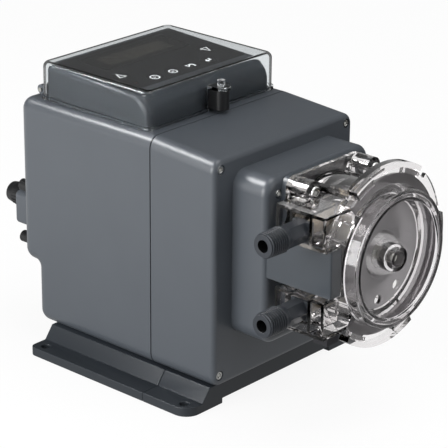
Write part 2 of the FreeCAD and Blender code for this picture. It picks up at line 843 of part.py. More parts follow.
def gear_plate():
    """The steel plate across the boss that carries the motor and the shaft's rear bearing."""
    body = new_body("gear_plate", D.foot_height)
    side = BOSS_SIDE - D.boss_wall - D.gear_plate_margin
    low = D.boss_bottom + D.boss_wall + D.gear_plate_margin
    high = D.boss_top - D.boss_wall - D.gear_plate_margin
    corner = D.boss_corner - D.boss_wall - D.gear_plate_margin
    add_block(body, D.gear_plate_reach, D.gear_plate_thickness, -side, side, low, high, corner=corner)
    centre = [(0, D.axis_height)]
    cup = PLATE_FACE - D.bearing_width
    add_discs(body, cup, D.bearing_width, D.bearing_radius + D.bearing_cup_wall, centre)
    cut_discs(body, cup, D.bearing_width, D.bearing_radius, centre)
    motor_centre = [(0, D.axis_height - GEAR_CENTRES)]
    cut_discs(body, D.gear_plate_reach, D.gear_plate_thickness, D.motor_boss_radius, motor_centre)
    cut_discs(body, D.gear_plate_reach, D.gear_plate_thickness, D.boss_screw_radius, BOSS_SCREWS)


def motor():
    body = new_body("motor", MOTOR_AXIS)
    rear = D.gear_plate_reach - D.motor_length
    bevel = D.motor_radius / 10
    front = D.gear_plate_reach + D.motor_boss_length
    lathe(body, [
        (rear, 0), (rear, D.motor_radius - bevel), (rear + bevel, D.motor_radius),
        (D.gear_plate_reach, D.motor_radius), (D.gear_plate_reach, D.motor_boss_radius),
        (front, D.motor_boss_radius), (front, 0)])
    depth = D.motor_length / 2
    cut_discs(body, D.gear_plate_reach - depth, depth + D.motor_boss_length,
              D.motor_shaft_radius + D.running_gap)


def toothed_wheel(body, teeth, pitch_radius, bore, first_angle):
    """A spur gear about the body's Y axis, with a first tooth at an angle from +X."""
    addendum = D.gear_module * 0.85
    dedendum = D.gear_module * 1.15
    thickness = D.gear_module * 1.28
    taper = called("tan", 20) * 2
    root_radius = pitch_radius - dedendum
    add_discs(body, D.gear_reach, D.gear_width, root_radius)
    tooth = new_sketch(body, FRONT, D.gear_reach)
    corners = []
    sunk = D.gear_module / 4
    for radius, width, side in (
            (root_radius - sunk, thickness + taper * dedendum, -1),
            (pitch_radius + addendum, thickness - taper * addendum, -1),
            (pitch_radius + addendum, thickness - taper * addendum, 1),
            (root_radius - sunk, thickness + taper * dedendum, 1)):
        offset = width * side / 2
        x = radius * called("cos", first_angle) - offset * called("sin", first_angle)
        z = radius * called("sin", first_angle) + offset * called("cos", first_angle)
        corners.append((x, z))
    draw_outline(tooth, corners)
    one = pad(body, tooth, D.gear_width)
    doc.recompute()
    pattern = body.newObject("PartDesign::PolarPattern", "Teeth")
    pattern.Originals = [one]
    pattern.Axis = (tooth, ["N_Axis"])
    pattern.Angle = 360
    bind(pattern, "Occurrences", teeth)
    body.Tip = pattern
    cut_discs(body, D.gear_reach, D.gear_width, bore)


def drive_gear():
    body = new_body("drive_gear", AXIS)
    toothed_wheel(body, D.gear_teeth, GEAR_RADIUS, D.shaft_radius, 0)
    depth = D.gear_width / 4
    for start in (D.gear_reach, D.gear_reach + D.gear_width - depth):
        ring(body, start, start + depth, D.shaft_radius * 2, GEAR_RADIUS - D.gear_module * 4, cut=True)


def motor_pinion():
    body = new_body("motor_pinion", MOTOR_AXIS)
    toothed_wheel(body, D.pinion_teeth, PINION_RADIUS, D.motor_shaft_radius, sized(180) / D.pinion_teeth)


def motor_shaft():
    body = new_body("motor_shaft", MOTOR_AXIS)
    rear = D.gear_plate_reach - D.motor_length / 2 + D.wall
    ring(body, rear, D.gear_reach + D.gear_width + D.wall, 0, D.motor_shaft_radius)


def bearing(label, near_reach, outer, inner, width):
    """A ball bearing, drawn as its two races with the shielded gap between them."""
    body = new_body(label, AXIS)
    recess = width / 8
    ring(body, near_reach, near_reach + width, inner, outer)
    for start in (near_reach, near_reach + width - recess):
        ring(body, start, start + recess, inner + D.bearing_race * 0.8,
             outer - D.bearing_race * 0.8, cut=True)


def shaft_seal():
    body = new_body("shaft_seal", AXIS)
    lip = D.running_gap
    lathe(body, [
        (BOSS_BACK, D.shaft_radius + D.bearing_race), (BOSS_FACE, D.shaft_radius + lip),
        (BOSS_FACE, D.seal_radius), (BOSS_BACK, D.seal_radius)])


def drive_shaft():
    body = new_body("drive_shaft", AXIS)
    rear = PLATE_FACE - D.bearing_width
    shoulder = D.rotor_far + D.rotor_nut_thickness
    lathe(body, [
        (rear, 0), (rear, D.shaft_radius), (shoulder, D.shaft_radius),
        (shoulder, D.shaft_nose_radius), (D.shaft_end_reach, D.shaft_nose_radius),
        (D.shaft_end_reach, 0)])
    round_edges(body, D.running_gap * 12, lambda m, c, e: near(m.y, -D.shaft_end_reach),
                "PartDesign::Chamfer")


def head_plate_outline(body, level, length):
    side = D.head_screw_x + D.head_post_radius
    height = D.head_screw_z + D.head_post_radius
    add_block(body, level, length, -side, side, -height, height, corner=D.head_post_radius)


def head_base():
    """The grey plate behind the clear head, with the block that closes it on the left."""
    body = new_body("head_base", AXIS)
    head_plate_outline(body, BOSS_FACE, D.head_plate)
    add_block(body, BOSS_FACE, D.head_plate, -D.block_face, 0, D.block_low, D.block_high)
    right = D.block_thickness - D.block_face
    add_block(body, BOSS_FACE, FLANGE_FACE - BOSS_FACE, -D.block_face, right,
              D.block_low, D.block_high)
    round_edges(body, D.block_chamfer,
                lambda m, c, e: along(c, "z") and near(m.x, -D.block_face) and near(m.y, -FLANGE_FACE))
    cut_discs(body, BOSS_FACE, D.head_plate, D.shaft_radius + D.running_gap * 8)
    cut_discs(body, BOSS_FACE, D.head_plate, D.head_screw_radius, HEAD_SCREWS)


def pocket_block(body, low, high):
    """A clear box that takes one fitting, with the fitting's chamber between two others."""
    add_block(body, D.pocket_near, D.pocket_far - D.pocket_near, -D.pocket_face,
              D.pocket_depth - D.pocket_face + D.pocket_wall * 4, low, high)


def pocket_chambers(body, low, high, side):
    wall = D.pocket_wall
    half = D.fitting_flange / 2 + D.chamber_play
    chambers = [
        (D.pocket_near + wall, D.port_reach - half - wall),
        (D.port_reach - half, D.port_reach + half),
        (D.port_reach + half + wall, D.pocket_far - wall),
    ]
    for start, end in chambers:
        cut_block(body, start, end - start, -D.pocket_face - 1, D.pocket_depth - D.pocket_face,
                  low + wall, high - wall)
    tube = D.tube_outer_radius + D.tube_clearance
    inner = D.port_spacing / 2 - tube
    outer = D.tube_loop_radius + D.tube_outer_radius - wall
    ends = (inner, outer) if side > 0 else (-outer, -inner)
    cut_block(body, D.port_reach - tube, tube * 2, D.pocket_depth - D.pocket_face - 1,
              D.pocket_depth * 1.6 - D.pocket_face, *ends)


def head_housing():
    """The smoky clear head: mounting plate, tube track, flange with hooks and fitting boxes."""
    body = new_body("head_housing", AXIS)
    head_plate_outline(body, HEAD_FACE, D.flange_thickness)
    outer = D.cavity_radius + D.track_wall
    add_discs(body, HEAD_FACE, D.flange_reach - HEAD_FACE, outer)
    add_discs(body, D.flange_reach, D.flange_thickness, D.flange_radius)
    add_discs(body, HEAD_FACE, D.head_post_length, D.head_post_radius, HEAD_SCREWS)
    rib_length = D.flange_reach - HEAD_FACE
    for angle in (90 - D.rib_angle, 90 + D.rib_angle, D.rib_angle - 90, -D.rib_angle - 90):
        arc_band(body, HEAD_FACE, HEAD_FACE + rib_length, outer - D.track_wall / 2,
                 outer + D.rib_height, angle, D.rib_thickness)
    arc_band(body, D.flange_reach, FLANGE_FACE, outer, D.hook_radius, D.lobe_middle, D.lobe_span)
    for middle in HOOKS:
        arc_band(body, D.flange_reach, FLANGE_FACE, outer, D.hook_radius, middle, D.hook_span)
        arc_band(body, D.flange_reach, D.hook_reach, D.flange_radius, D.hook_radius, middle, D.hook_span)
        for side in (-1, 1):
            arc_band(body, D.hook_reach - D.hook_lip, D.hook_reach, D.cover_flange_radius + D.lug_gap,
                     D.hook_radius, middle + LUG_OFFSET * side, D.lug_span)
    pocket_block(body, D.upper_pocket_low, D.upper_pocket_high)
    pocket_block(body, D.lower_pocket_low, D.lower_pocket_high)
    cut_discs(body, HEAD_FACE + D.flange_thickness, D.hook_reach - HEAD_FACE, D.cavity_radius)
    cut_discs(body, HEAD_FACE, D.flange_thickness * 2, D.seal_radius)
    gap = D.cover_flange_gap
    cut_block(body, HEAD_FACE - 1, D.hook_reach - HEAD_FACE, -D.pocket_face * 2,
              D.block_thickness - D.block_face + gap, D.block_low - gap, D.block_high + gap)
    pocket_chambers(body, D.upper_pocket_low, D.upper_pocket_high, 1)
    pocket_chambers(body, D.lower_pocket_low, D.lower_pocket_high, -1)
    cut_block(body, D.flange_reach - 1, D.hook_reach, -D.hook_radius * 2, -D.pocket_face,
              -D.hook_radius, D.hook_radius)
    cut_discs(body, HEAD_FACE, D.head_post_length, D.head_screw_radius, HEAD_SCREWS)
    cut_discs(body, HEAD_FACE + D.head_post_length, D.head_screw_head_height * 2,
              D.head_screw_head_radius + gap, HEAD_SCREWS)


def rest_pad():
    """The black rubber foot under the lower fitting box."""
    body = new_body("rest_pad", AXIS)
    left = D.rest_pad_inset - D.pocket_face
    add_block(body, D.pocket_far - D.rest_pad_size, D.rest_pad_size, left, left + D.rest_pad_size,
              D.lower_pocket_low - D.rest_pad_height, D.lower_pocket_low)


def port_fitting(name, height):
    """A tube fitting: threaded end, hexagonal neck, square flange and stem for the tube."""
    body = new_body(name + "_fitting", AXIS)
    thread_end = D.thread_length - D.fitting_end
    neck_end = thread_end + D.neck_length
    flange_end = neck_end + D.fitting_flange_thickness
    stem_end = flange_end + D.stem_length
    neck = new_sketch(body, ACROSS, thread_end, -D.port_reach, height)
    draw_outline(neck, hexagon(D.neck_across_flats))
    pad(body, neck, D.neck_length)
    flange = new_sketch(body, ACROSS, neck_end, -D.port_reach, height)
    half = D.fitting_flange / 2
    draw_rectangle(flange, -half, half, -half, half)
    pad(body, flange, D.fitting_flange_thickness)
    outside = new_sketch(body, FRONT, D.port_reach, 0, height)
    draw_outline(outside, [
        (-D.fitting_end, 0), (-D.fitting_end, D.thread_tip_radius), (thread_end, D.thread_radius),
        (thread_end, D.stem_radius), (stem_end, D.stem_radius), (stem_end, 0)])
    turn(body, outside)
    bore = new_sketch(body, FRONT, D.port_reach, 0, height)
    step = D.port_bore_length - D.fitting_end
    draw_outline(bore, [
        (-D.fitting_end - 1, 0), (-D.fitting_end - 1, D.port_bore_radius),
        (step, D.port_bore_radius), (step, D.stem_bore_radius),
        (stem_end + 1, D.stem_bore_radius), (stem_end + 1, 0)])
    turn(body, bore, cut=True)
    return stem_end


def pump_tube():
    """The squeezed tube: in from one stem, round the track and out to the other."""
    body = new_body("pump_tube", AXIS)
    start = D.thread_length - D.fitting_end + D.neck_length + D.fitting_flange_thickness
    high = D.port_spacing / 2
    loop = D.tube_loop_radius
    bend = D.tube_bend_radius
    joint_x = -root((loop + bend) * (loop + bend) - (high + bend) * (high + bend))
    lean = math.degrees(math.atan2((high + bend).value, joint_x.value))
    path = new_sketch(body, FRONT, D.port_reach)
    up = FreeCAD.Vector(0, 0, 1)

    def arc(x, z, radius, first, last):
        circle = Part.Circle(point(x, z), up, sized(radius).value)
        return sketch_item(Part.ArcOfCircle(circle, math.radians(first), math.radians(last)))

    def sketch_item(shape):
        return path.addGeometry(shape, False)

    entry = sketch_item(Part.LineSegment(point(start, high), point(joint_x, high)))
    rise = arc(joint_x, high + bend, bend, 270, 180 + lean)
    main = arc(0, 0, loop, -lean, lean)
    fall = arc(joint_x, -(high + bend), bend, 180 - lean, 90)
    leave = sketch_item(Part.LineSegment(point(joint_x, -high), point(start, -high)))
    path.addConstraint(Sketcher.Constraint("Tangent", entry, 2, rise, 1))
    path.addConstraint(Sketcher.Constraint("Tangent", rise, 2, main, 2))
    path.addConstraint(Sketcher.Constraint("Tangent", main, 1, fall, 1))
    path.addConstraint(Sketcher.Constraint("Tangent", fall, 2, leave, 1))
    path.addConstraint(Sketcher.Constraint("Coincident", main, 3, -1, 1))
    path.addConstraint(Sketcher.Constraint("Horizontal", entry))
    path.addConstraint(Sketcher.Constraint("Horizontal", leave))
    path.addConstraint(Sketcher.Constraint("Equal", rise, fall))
    set_value(path, Sketcher.Constraint("Radius", main, loop.value), loop)
    set_value(path, Sketcher.Constraint("Radius", rise, bend.value), bend)
    pin_point(path, entry, 1, start, high)
    pin_point(path, leave, 2, start, -high)
    section = new_sketch(body, ACROSS, start, -D.port_reach, high)
    draw_circles(section, D.tube_outer_radius, [(0, 0)])
    draw_circles(section, D.stem_radius, [(0, 0)])
    doc.recompute()
    pipe = body.newObject("PartDesign::AdditivePipe", "Tube")
    pipe.Profile = section
    pipe.Spine = (path, ["Edge{}".format(number) for number in range(1, 6)])
    body.Tip = pipe


def rotor_places(radius):
    """The roller places round the shaft, the first just above +X."""
    step = 360 / DRIVING["roller_count"]
    angles = [D.rotor_angle + step * number for number in range(DRIVING["roller_count"])]
    return [(radius * called("cos", angle), radius * called("sin", angle)) for angle in angles]


def rotor_plate(label, start):
    body = new_body(label, AXIS)
    add_discs(body, start, D.rotor_plate_thickness, D.rotor_plate_radius)
    cut_discs(body, start, D.rotor_plate_thickness, D.shaft_radius)
    cut_discs(body, start, D.rotor_plate_thickness, D.roller_pin_radius, rotor_places(D.roller_circle))


def rotor_hub():
    body = new_body("rotor_hub", AXIS)
    ring(body, D.rotor_near + D.rotor_plate_thickness, D.rotor_far - D.rotor_plate_thickness,
         D.shaft_radius, D.rotor_hub_radius)


def roller_pins():
    body = new_body("roller_pins", AXIS)
    add_discs(body, D.rotor_near, D.rotor_far - D.rotor_near, D.roller_pin_radius,
              rotor_places(D.roller_circle))


def rotor_nut():
    body = new_body("rotor_nut", AXIS)
    sketch = new_sketch(body, FRONT, D.rotor_far)
    draw_outline(sketch, hexagon(D.rotor_nut_radius * 2))
    pad(body, sketch, D.rotor_nut_thickness)
    cut_discs(body, D.rotor_far, D.rotor_nut_thickness, D.shaft_radius)


def roller(number, x, z):
    body = new_body("roller_{}".format(number), AXIS)
    sketch = new_sketch(body, ACROSS, x, 0, z)
    near_end = D.rotor_near + D.rotor_plate_thickness + D.roller_end_gap
    far_end = D.rotor_far - D.rotor_plate_thickness - D.roller_end_gap
    bore = D.roller_pin_radius + D.running_gap
    bevel = D.roller_radius / 10
    draw_outline(sketch, [
        (-near_end, bore), (-near_end, D.roller_radius - bevel),
        (-near_end - bevel, D.roller_radius), (bevel - far_end, D.roller_radius),
        (-far_end, D.roller_radius - bevel), (-far_end, bore)])
    turn(body, sketch)


def head_cover():
    """The round twist-on cover: a pan with a hollow rim, a centre hub, lugs and a grip."""
    body = new_body("head_cover", AXIS)
    wall = D.cover_wall
    front = D.cover_front_reach
    rim = D.cover_rim_radius
    plug = D.cavity_radius - D.cover_fit_gap
    floor_back = D.cover_floor_reach - wall
    flange_face = COVER_BACK + D.cover_flange_thickness
    window = D.nose_bearing_near + D.nose_bearing_width
    hub_face = front - wall / 4
    lathe(body, [
        (COVER_BACK, D.cover_flange_radius), (flange_face, D.cover_flange_radius),
        (flange_face, rim + D.cover_draft), (front, rim), (front, rim - D.cover_rim_width),
        (D.cover_floor_reach, plug - wall), (D.cover_floor_reach, D.hub_base_radius),
        (hub_face, D.hub_tip_radius), (hub_face, D.hub_window_radius),
        (window, D.hub_window_radius), (window, D.nose_bearing_radius),
        (floor_back, D.nose_bearing_radius), (floor_back, plug),
        (front - wall, rim - D.cover_rim_width + wall * 0.7), (front - wall, rim - wall),
        (COVER_BACK, rim + D.cover_draft - wall)])
    round_edges(body, wall * 0.6, lambda m, c, e: near(m.y, -front) and c.Length < 1)
    arc_band(body, COVER_BACK - 1, COVER_BACK + D.cover_notch_depth,
             D.cavity_radius + D.cover_fit_gap, D.cover_flange_radius + 1, 180,
             D.cover_notch_span, cut=True)
    inside = D.cover_flange_radius - wall
    for middle in HOOKS:
        for side in (-1, 1):
            arc_band(body, COVER_BACK, flange_face, inside, D.flange_radius - D.lug_gap,
                     middle + LUG_OFFSET * side, D.lug_span)
    arc_band(body, COVER_BACK, COVER_BACK + D.grip_thickness, inside, D.grip_radius,
             D.grip_middle, D.grip_span)
    circle = D.floor_hole_circle
    holes = [(circle * called("cos", angle), circle * called("sin", angle)) for angle in (-94, -58)]
    cut_discs(body, floor_back, wall * 2, D.floor_hole_radius, holes)


def control_pod():
    """The keypad housing: a hollow wedge with a round nose, its panel sloping to the front."""
    body = new_body("control_pod", HOUSING_TOP)
    side = D.pod_width / 2
    profile = new_sketch(body, ACROSS)
    draw_outline(profile, [
        (-D.pod_front_reach, 0), (D.pod_rear_reach, 0), (D.pod_rear_reach, D.pod_back_height),
        (-D.pod_front_reach, D.pod_front_height)])
    pad(body, profile, D.pod_width, both_ways=True)
    round_edges(body, D.pod_nose,
                lambda m, c, e: along(c, "x") and m.z > 1 and near(m.y, -D.pod_front_reach))
    round_edges(body, D.pod_edge_round,
                lambda m, c, e: along(c, "x") and m.z > 1 and near(m.y, D.pod_rear_reach))
    round_edges(body, D.pod_edge_round * 0.9, lambda m, c, e: near(abs(m.x), side) and m.z > 1)
    shell(body, D.pod_wall, lambda centre: near(centre.z, 0))
    latch_tenon(body, cut=True)
    post_low = D.overlay_thickness + D.key_height
    posts = [(x, y) for x in (-1, 1) for y in (-1, 1)]
    board_x = D.overlay_width / 2 - D.display_module_margin
    places = [(board_x * x, KEY_BOARD_MIDDLE + (KEY_BOARD_HALF - D.display_module_margin) * y)
              for x, y in posts]
    add_panel_discs(body, -post_low, post_low - D.pod_wall / 2, D.display_module_margin * 0.7, places)
    half = D.overlay_width / 2
    start = D.overlay_start
    cut_panel_block(body, -D.overlay_thickness, D.pod_wall, -half, half, start,
                    start + D.overlay_length, D.overlay_corner)
    open_panel(body, -D.pod_wall * 2, D.pod_wall * 3)


KEY_BOARD_HALF = (D.arrow_key_row - D.key_row) / 2 + D.key_radius + D.key_flange
KEY_BOARD_MIDDLE = (D.arrow_key_row + D.key_row) / 2


def panel_sketch(body, level):
    """A sketch parallel to the sloping panel, measured up the slope from the pod's front."""
    sketch = new_sketch(body, PLAN, 0, 0, 0, PANEL_SLOPE)
    lift = level * called("cos", PANEL_SLOPE) + D.pod_front_height
    shift = -D.pod_front_reach - level * called("sin", PANEL_SLOPE)
    bind(sketch, "AttachmentOffset.Base.y", shift)
    bind(sketch, "AttachmentOffset.Base.z", lift)
    return sketch


def add_panel_discs(body, level, length, radius, places):
    sketch = panel_sketch(body, sized(level))
    draw_circles(sketch, radius, places)
    return pad(body, sketch, length)


def cut_panel_discs(body, level, length, radius, places):
    sketch = panel_sketch(body, sized(level))
    draw_circles(sketch, radius, places)
    return pocket(body, sketch, length)


def add_panel_block(body, level, length, left, right, low, high, corner):
    sketch = panel_sketch(body, sized(level))
    draw_rounded_rectangle(sketch, left, right, low, high, corner)
    return pad(body, sketch, length)


def cut_panel_block(body, level, length, left, right, low, high, corner):
    sketch = panel_sketch(body, sized(level))
    draw_rounded_rectangle(sketch, left, right, low, high, corner)
    return pocket(body, sketch, length)


def open_panel(body, level, length):
    """The openings for the keys, the lamp and the display."""
    cut_panel_discs(body, level, length, D.key_radius + D.key_gap, list(KEYS.values()))
    cut_panel_discs(body, level, length, D.lamp_radius + D.running_gap, [(-D.lamp_x, D.lamp_row)])
    half = D.display_width / 2
    cut_panel_block(body, level, length, -half, half, D.display_middle - D.display_length / 2,
                    D.display_middle + D.display_length / 2, D.overlay_corner / 2)


def panel_overlay():
    body = new_body("panel_overlay", HOUSING_TOP)
    half = D.overlay_width / 2
    add_panel_block(body, -D.overlay_thickness, D.overlay_thickness, -half, half, D.overlay_start,
                    D.overlay_start + D.overlay_length, D.overlay_corner)
    open_panel(body, -D.overlay_thickness * 2, D.overlay_thickness * 3)


def display_window():
    body = new_body("display_window", HOUSING_TOP)
    half = D.display_width / 2
    add_panel_block(body, -D.display_thickness, D.display_thickness, -half, half,
                    D.display_middle - D.display_length / 2,
                    D.display_middle + D.display_length / 2, D.overlay_corner / 2)


def display_module():
    body = new_body("display_module", HOUSING_TOP)
    half = D.display_width / 2 + D.display_module_margin
    reach = D.display_length / 2 + D.display_module_margin
    level = -D.pod_wall - D.display_module_depth
    add_panel_block(body, level, D.display_module_depth, -half, half, D.display_middle - reach,
                    D.display_middle + reach, D.overlay_corner)


def key_board():
    body = new_body("key_board", HOUSING_TOP)
    half = D.overlay_width / 2
    level = -D.overlay_thickness - D.key_height - D.board_thickness
    add_panel_block(body, level, D.board_thickness, -half, half, KEY_BOARD_MIDDLE - KEY_BOARD_HALF,
                    KEY_BOARD_MIDDLE + KEY_BOARD_HALF, D.overlay_corner)


def key(label, place):
    """A key cap, flush with the panel, with the flange that keeps it in."""
    body = new_body(label, HOUSING_TOP)
    low = -D.overlay_thickness - D.key_height + D.key_travel + D.board_gap
    add_panel_discs(body, low, -low, D.key_radius, [place])
    add_panel_discs(body, low, D.key_flange_thickness, D.key_radius + D.key_flange, [place])


def status_lamp():
    body = new_body("status_lamp", HOUSING_TOP)
    low = -D.overlay_thickness - D.key_height
    add_panel_discs(body, low, -low, D.lamp_radius, [(-D.lamp_x, D.lamp_row)])


def panel_cover():
    """The clear hinged cover over the keypad, with its rim, hinge barrels and tongue."""
    body = new_body("panel_cover", HOUSING_TOP)
    add_block(body, D.lid_gap, LID_TOP - D.lid_gap, -LID_SIDE, LID_SIDE, -LID_FRONT, LID_REAR, PLAN,
              corner=D.lid_corner)
    round_edges(body, D.lid_edge_round, lambda m, c, e: near(m.z, LID_TOP))
    shell(body, D.lid_wall, lambda centre: near(centre.z, D.lid_gap))
    rim = D.lid_rim
    add_block(body, D.lid_gap, D.lid_rim_height, -LID_SIDE - rim, LID_SIDE + rim, -LID_FRONT - rim,
              LID_REAR + rim, PLAN, corner=D.lid_corner + rim)
    barrel = D.hinge_barrel_length
    web = D.hinge_barrel_radius
    for start in (BARREL_INNER, -D.hinge_barrel_outer):
        add_block(body, start, barrel, LID_REAR - D.lid_wall / 2, HINGE_REACH,
                  D.hinge_height - web / 2, D.hinge_height + web, ACROSS)
        hinge_place(body, start, barrel, D.hinge_barrel_radius)
        hinge_place(body, start, barrel, D.hinge_pin_radius + D.running_gap, cut=True)
    tongue = D.latch_width / 2 + D.tongue_margin
    add_block(body, TONGUE_LOW, D.tongue_thickness, -tongue, tongue, -LATCH_MIDDLE,
              D.lid_wall / 2 - LID_FRONT, PLAN)
    add_discs(body, TONGUE_LOW, D.tongue_thickness, tongue, [(0, -LATCH_MIDDLE)], PLAN)
    wall = D.lid_wall
    cut_block(body, 0, D.lid_gap + D.lid_rim_height, wall - LID_SIDE, LID_SIDE - wall,
              wall - LID_FRONT, LID_REAR - wall, PLAN, corner=D.lid_corner - wall)
    notch = D.latch_width / 2 + D.latch_play
    cut_block(body, 0, TONGUE_LOW, -notch, notch, -LATCH_FRONT, D.lid_wall * 1.5 - LID_FRONT, PLAN)
    cut_discs(body, TONGUE_LOW, D.tongue_thickness, D.latch_pin_radius + D.running_gap,
              [(0, -LATCH_MIDDLE)], PLAN)


def hinge_pin():
    body = new_body("hinge_pin", HOUSING_TOP)
    end = EAR_START + D.hinge_ear_thickness + D.lid_rim
    hinge_place(body, -end, end * 2, D.hinge_pin_radius)


def latch_post():
    """The black round-nosed post on the keypad housing, hollow for the stud's cross bar."""
    body = new_body("latch_post", HOUSING_TOP)
    half = D.latch_width / 2
    add_block(body, D.latch_low, D.latch_height, -half, half, -LATCH_MIDDLE, -D.pod_front_reach,
              PLAN)
    add_discs(body, D.latch_low, D.latch_height, half, [(0, -LATCH_MIDDLE)], PLAN)
    latch_tenon(body)
    pin_hole = D.latch_pin_radius + D.latch_play
    cavity = D.latch_bar_reach + D.latch_play
    floor = LATCH_TOP - D.latch_lip - D.latch_bar_height * 3
    centre = [(0, -LATCH_MIDDLE)]
    cut_discs(body, floor, D.latch_bar_height * 3, cavity, centre, PLAN)
    cut_discs(body, floor, LATCH_TOP - floor, pin_hole, centre, PLAN)
    slot = D.latch_bar_width / 2 + D.latch_play
    cut_block(body, floor, LATCH_TOP - floor, -cavity, cavity, -LATCH_MIDDLE - slot,
              slot - LATCH_MIDDLE, PLAN)


def latch_tenon(body, cut=False):
    """The tenon that holds the post in the keypad housing's front wall."""
    tenon = D.latch_width / 4
    low = D.latch_low + D.latch_lip / 4
    shape = cut_block if cut else add_block
    shape(body, low, D.latch_lip * 1.5, -tenon, tenon, -D.pod_front_reach,
          D.pod_wall - D.pod_front_reach, PLAN)


def latch_stud():
    """The clear knob on its pin: a quarter turn puts the cross bar under the post's lip."""
    body = new_body("latch_stud", HOUSING_TOP)
    top = TONGUE_LOW + D.tongue_thickness
    bar_top = LATCH_TOP - D.latch_lip - D.latch_bar_height / 3
    bar_low = bar_top - D.latch_bar_height
    centre = [(0, -LATCH_MIDDLE)]
    add_discs(body, bar_low, top - bar_low, D.latch_pin_radius, centre, PLAN)
    reach = D.latch_bar_reach
    half = D.latch_bar_width / 2
    add_block(body, bar_low, D.latch_bar_height, -reach, reach, -LATCH_MIDDLE - half,
              half - LATCH_MIDDLE, PLAN)
    add_discs(body, top, D.latch_knob_height, D.latch_knob_radius, centre, PLAN)
    round_edges(body, D.latch_knob_radius / 4,
                lambda m, c, e: near(m.z, top + D.latch_knob_height))


def terminal_cover():
    """The box on the rear that covers the mains terminals."""
    body = new_body("terminal_cover", D.foot_height)
    half = D.terminal_width / 2
    height = D.terminal_height / 2
    add_block(body, -D.bulge_reach - D.terminal_depth, D.terminal_depth, D.terminal_x - half,
              D.terminal_x + half, D.terminal_z - height, D.terminal_z + height,
              corner=D.terminal_corner)
    round_edges(body, D.terminal_corner / 2,
                lambda m, c, e: near(m.y, D.bulge_reach + D.terminal_depth))
    wall = D.pod_wall
    cut_block(body, wall - D.bulge_reach - D.terminal_depth, D.terminal_depth - wall,
              D.terminal_x - half + wall, D.terminal_x + half - wall, D.terminal_z - height + wall,
              D.terminal_z + height - wall, corner=D.terminal_corner / 2)
    cut_discs(body, -D.bulge_reach - D.terminal_depth, wall, D.gland_radius * 0.7,
              [(D.gland_x, D.gland_z)])


def rear_turned(body, x, z, profile):
    """A form turned about a line to the rear, from (distance behind the wall, radius)."""
    sketch = new_sketch(body, ACROSS, x, D.bulge_reach, z)
    draw_outline(sketch, profile)
    turn(body, sketch)


def power_gland():
    body = new_body("power_gland", D.foot_height)
    start = D.terminal_depth
    inner = D.gland_bore_radius
    neck = D.gland_radius * 0.7
    rear_turned(body, D.gland_x, D.gland_z, [
        (start - D.pod_wall, inner), (start + D.gland_length, inner), (start + D.gland_length, neck),
        (start + D.gland_nut_thickness, neck), (start + D.gland_nut_thickness, D.gland_radius),
        (start, D.gland_radius), (start, neck), (start - D.pod_wall, neck)])


def gland_nut():
    body = new_body("gland_nut", D.foot_height)
    start = D.terminal_depth + D.gland_nut_thickness
    end = start + D.gland_length
    neck = D.gland_radius * 0.7
    rear_turned(body, D.gland_x, D.gland_z, [
        (start, neck), (start, D.gland_nut_radius), (end - D.gland_nut_thickness, D.gland_nut_radius),
        (end, neck + D.pod_wall), (end, D.gland_bore_radius),
        (D.terminal_depth + D.gland_length, D.gland_bore_radius),
        (D.terminal_depth + D.gland_length, neck)])


def signal_gland(label, z):
    body = new_body(label, D.foot_height)
    rim = D.signal_radius * 0.8
    rear_turned(body, D.signal_x, z, [
        (-D.signal_seat, D.signal_bore_radius), (-D.signal_seat, D.signal_radius),
        (D.signal_length * 0.4, D.signal_radius),
        (D.signal_length * 0.5, rim), (D.signal_length, rim),
        (D.signal_length, D.signal_bore_radius)])


def main_board():
    body = new_body("main_board", D.foot_height)
    half = D.main_board_width / 2
    add_block(body, -D.main_board_reach - D.board_thickness, D.board_thickness, -half, half,
              D.main_board_low, D.main_board_low + D.main_board_height)


def transformer():
    body = new_body("transformer", D.foot_height)
    half = D.transformer_width / 2
    low = D.main_board_low + D.transformer_height / 2
    add_block(body, -D.main_board_reach, D.transformer_depth, -half, half, low,
              low + D.transformer_height)
    round_edges(body, D.wall, lambda m, c, e: along(c, "y"))


FOOT_FRONT = D.foot_length / 2
FOOT_SPLIT = FOOT_FRONT - D.foot_front_length
foot_piece("foot_rear", -FOOT_FRONT, D.foot_length - D.foot_front_length, -FOOT_FRONT,
           D.foot_rear_corner)
foot_piece("foot_front", FOOT_SPLIT, D.foot_front_length, FOOT_FRONT, D.foot_corner)
foot_screws()
rear_housing()
front_housing()
housing_gasket()
hinge_brackets()
screw_group("housing_screws", D.foot_height, CORNER_SEAT, D.corner_head_height, D.corner_head_radius,
            D.corner_screw_length, D.corner_screw_radius, CORNER_SCREWS)
screw_group("boss_screws", D.foot_height, BOSS_SEAT, D.boss_head_height, D.boss_head_radius,
            D.boss_screw_length, D.boss_screw_radius, BOSS_SCREWS)
gear_plate()
motor()
motor_shaft()
motor_pinion()
drive_gear()
drive_shaft()
bearing("rear_bearing", PLATE_FACE - D.bearing_width, D.bearing_radius, BEARING_BORE, D.bearing_width)
bearing("front_bearing", BOSS_BACK - D.bearing_width, D.bearing_radius, BEARING_BORE, D.bearing_width)
bearing("nose_bearing", D.nose_bearing_near, D.nose_bearing_radius,
        D.shaft_nose_radius + D.running_gap, D.nose_bearing_width)
shaft_seal()
head_base()
head_housing()
screw_group("head_screws", AXIS, HEAD_FACE + D.head_post_length, D.head_screw_head_height,
            D.head_screw_head_radius, D.head_screw_length, D.head_screw_radius, HEAD_SCREWS)
rest_pad()
for name, height in PORTS.items():
    port_fitting(name, height)
pump_tube()
rotor_plate("rotor_rear_plate", D.rotor_near)
rotor_plate("rotor_front_plate", D.rotor_far - D.rotor_plate_thickness)
rotor_hub()
roller_pins()
rotor_nut()
for number, (x, z) in enumerate(rotor_places(D.roller_circle), start=1):
    roller(number, x, z)
head_cover()
control_pod()
panel_overlay()
display_window()
display_module()
key_board()
for label, place in KEYS.items():
    key(label, place)
status_lamp()
panel_cover()
hinge_pin()
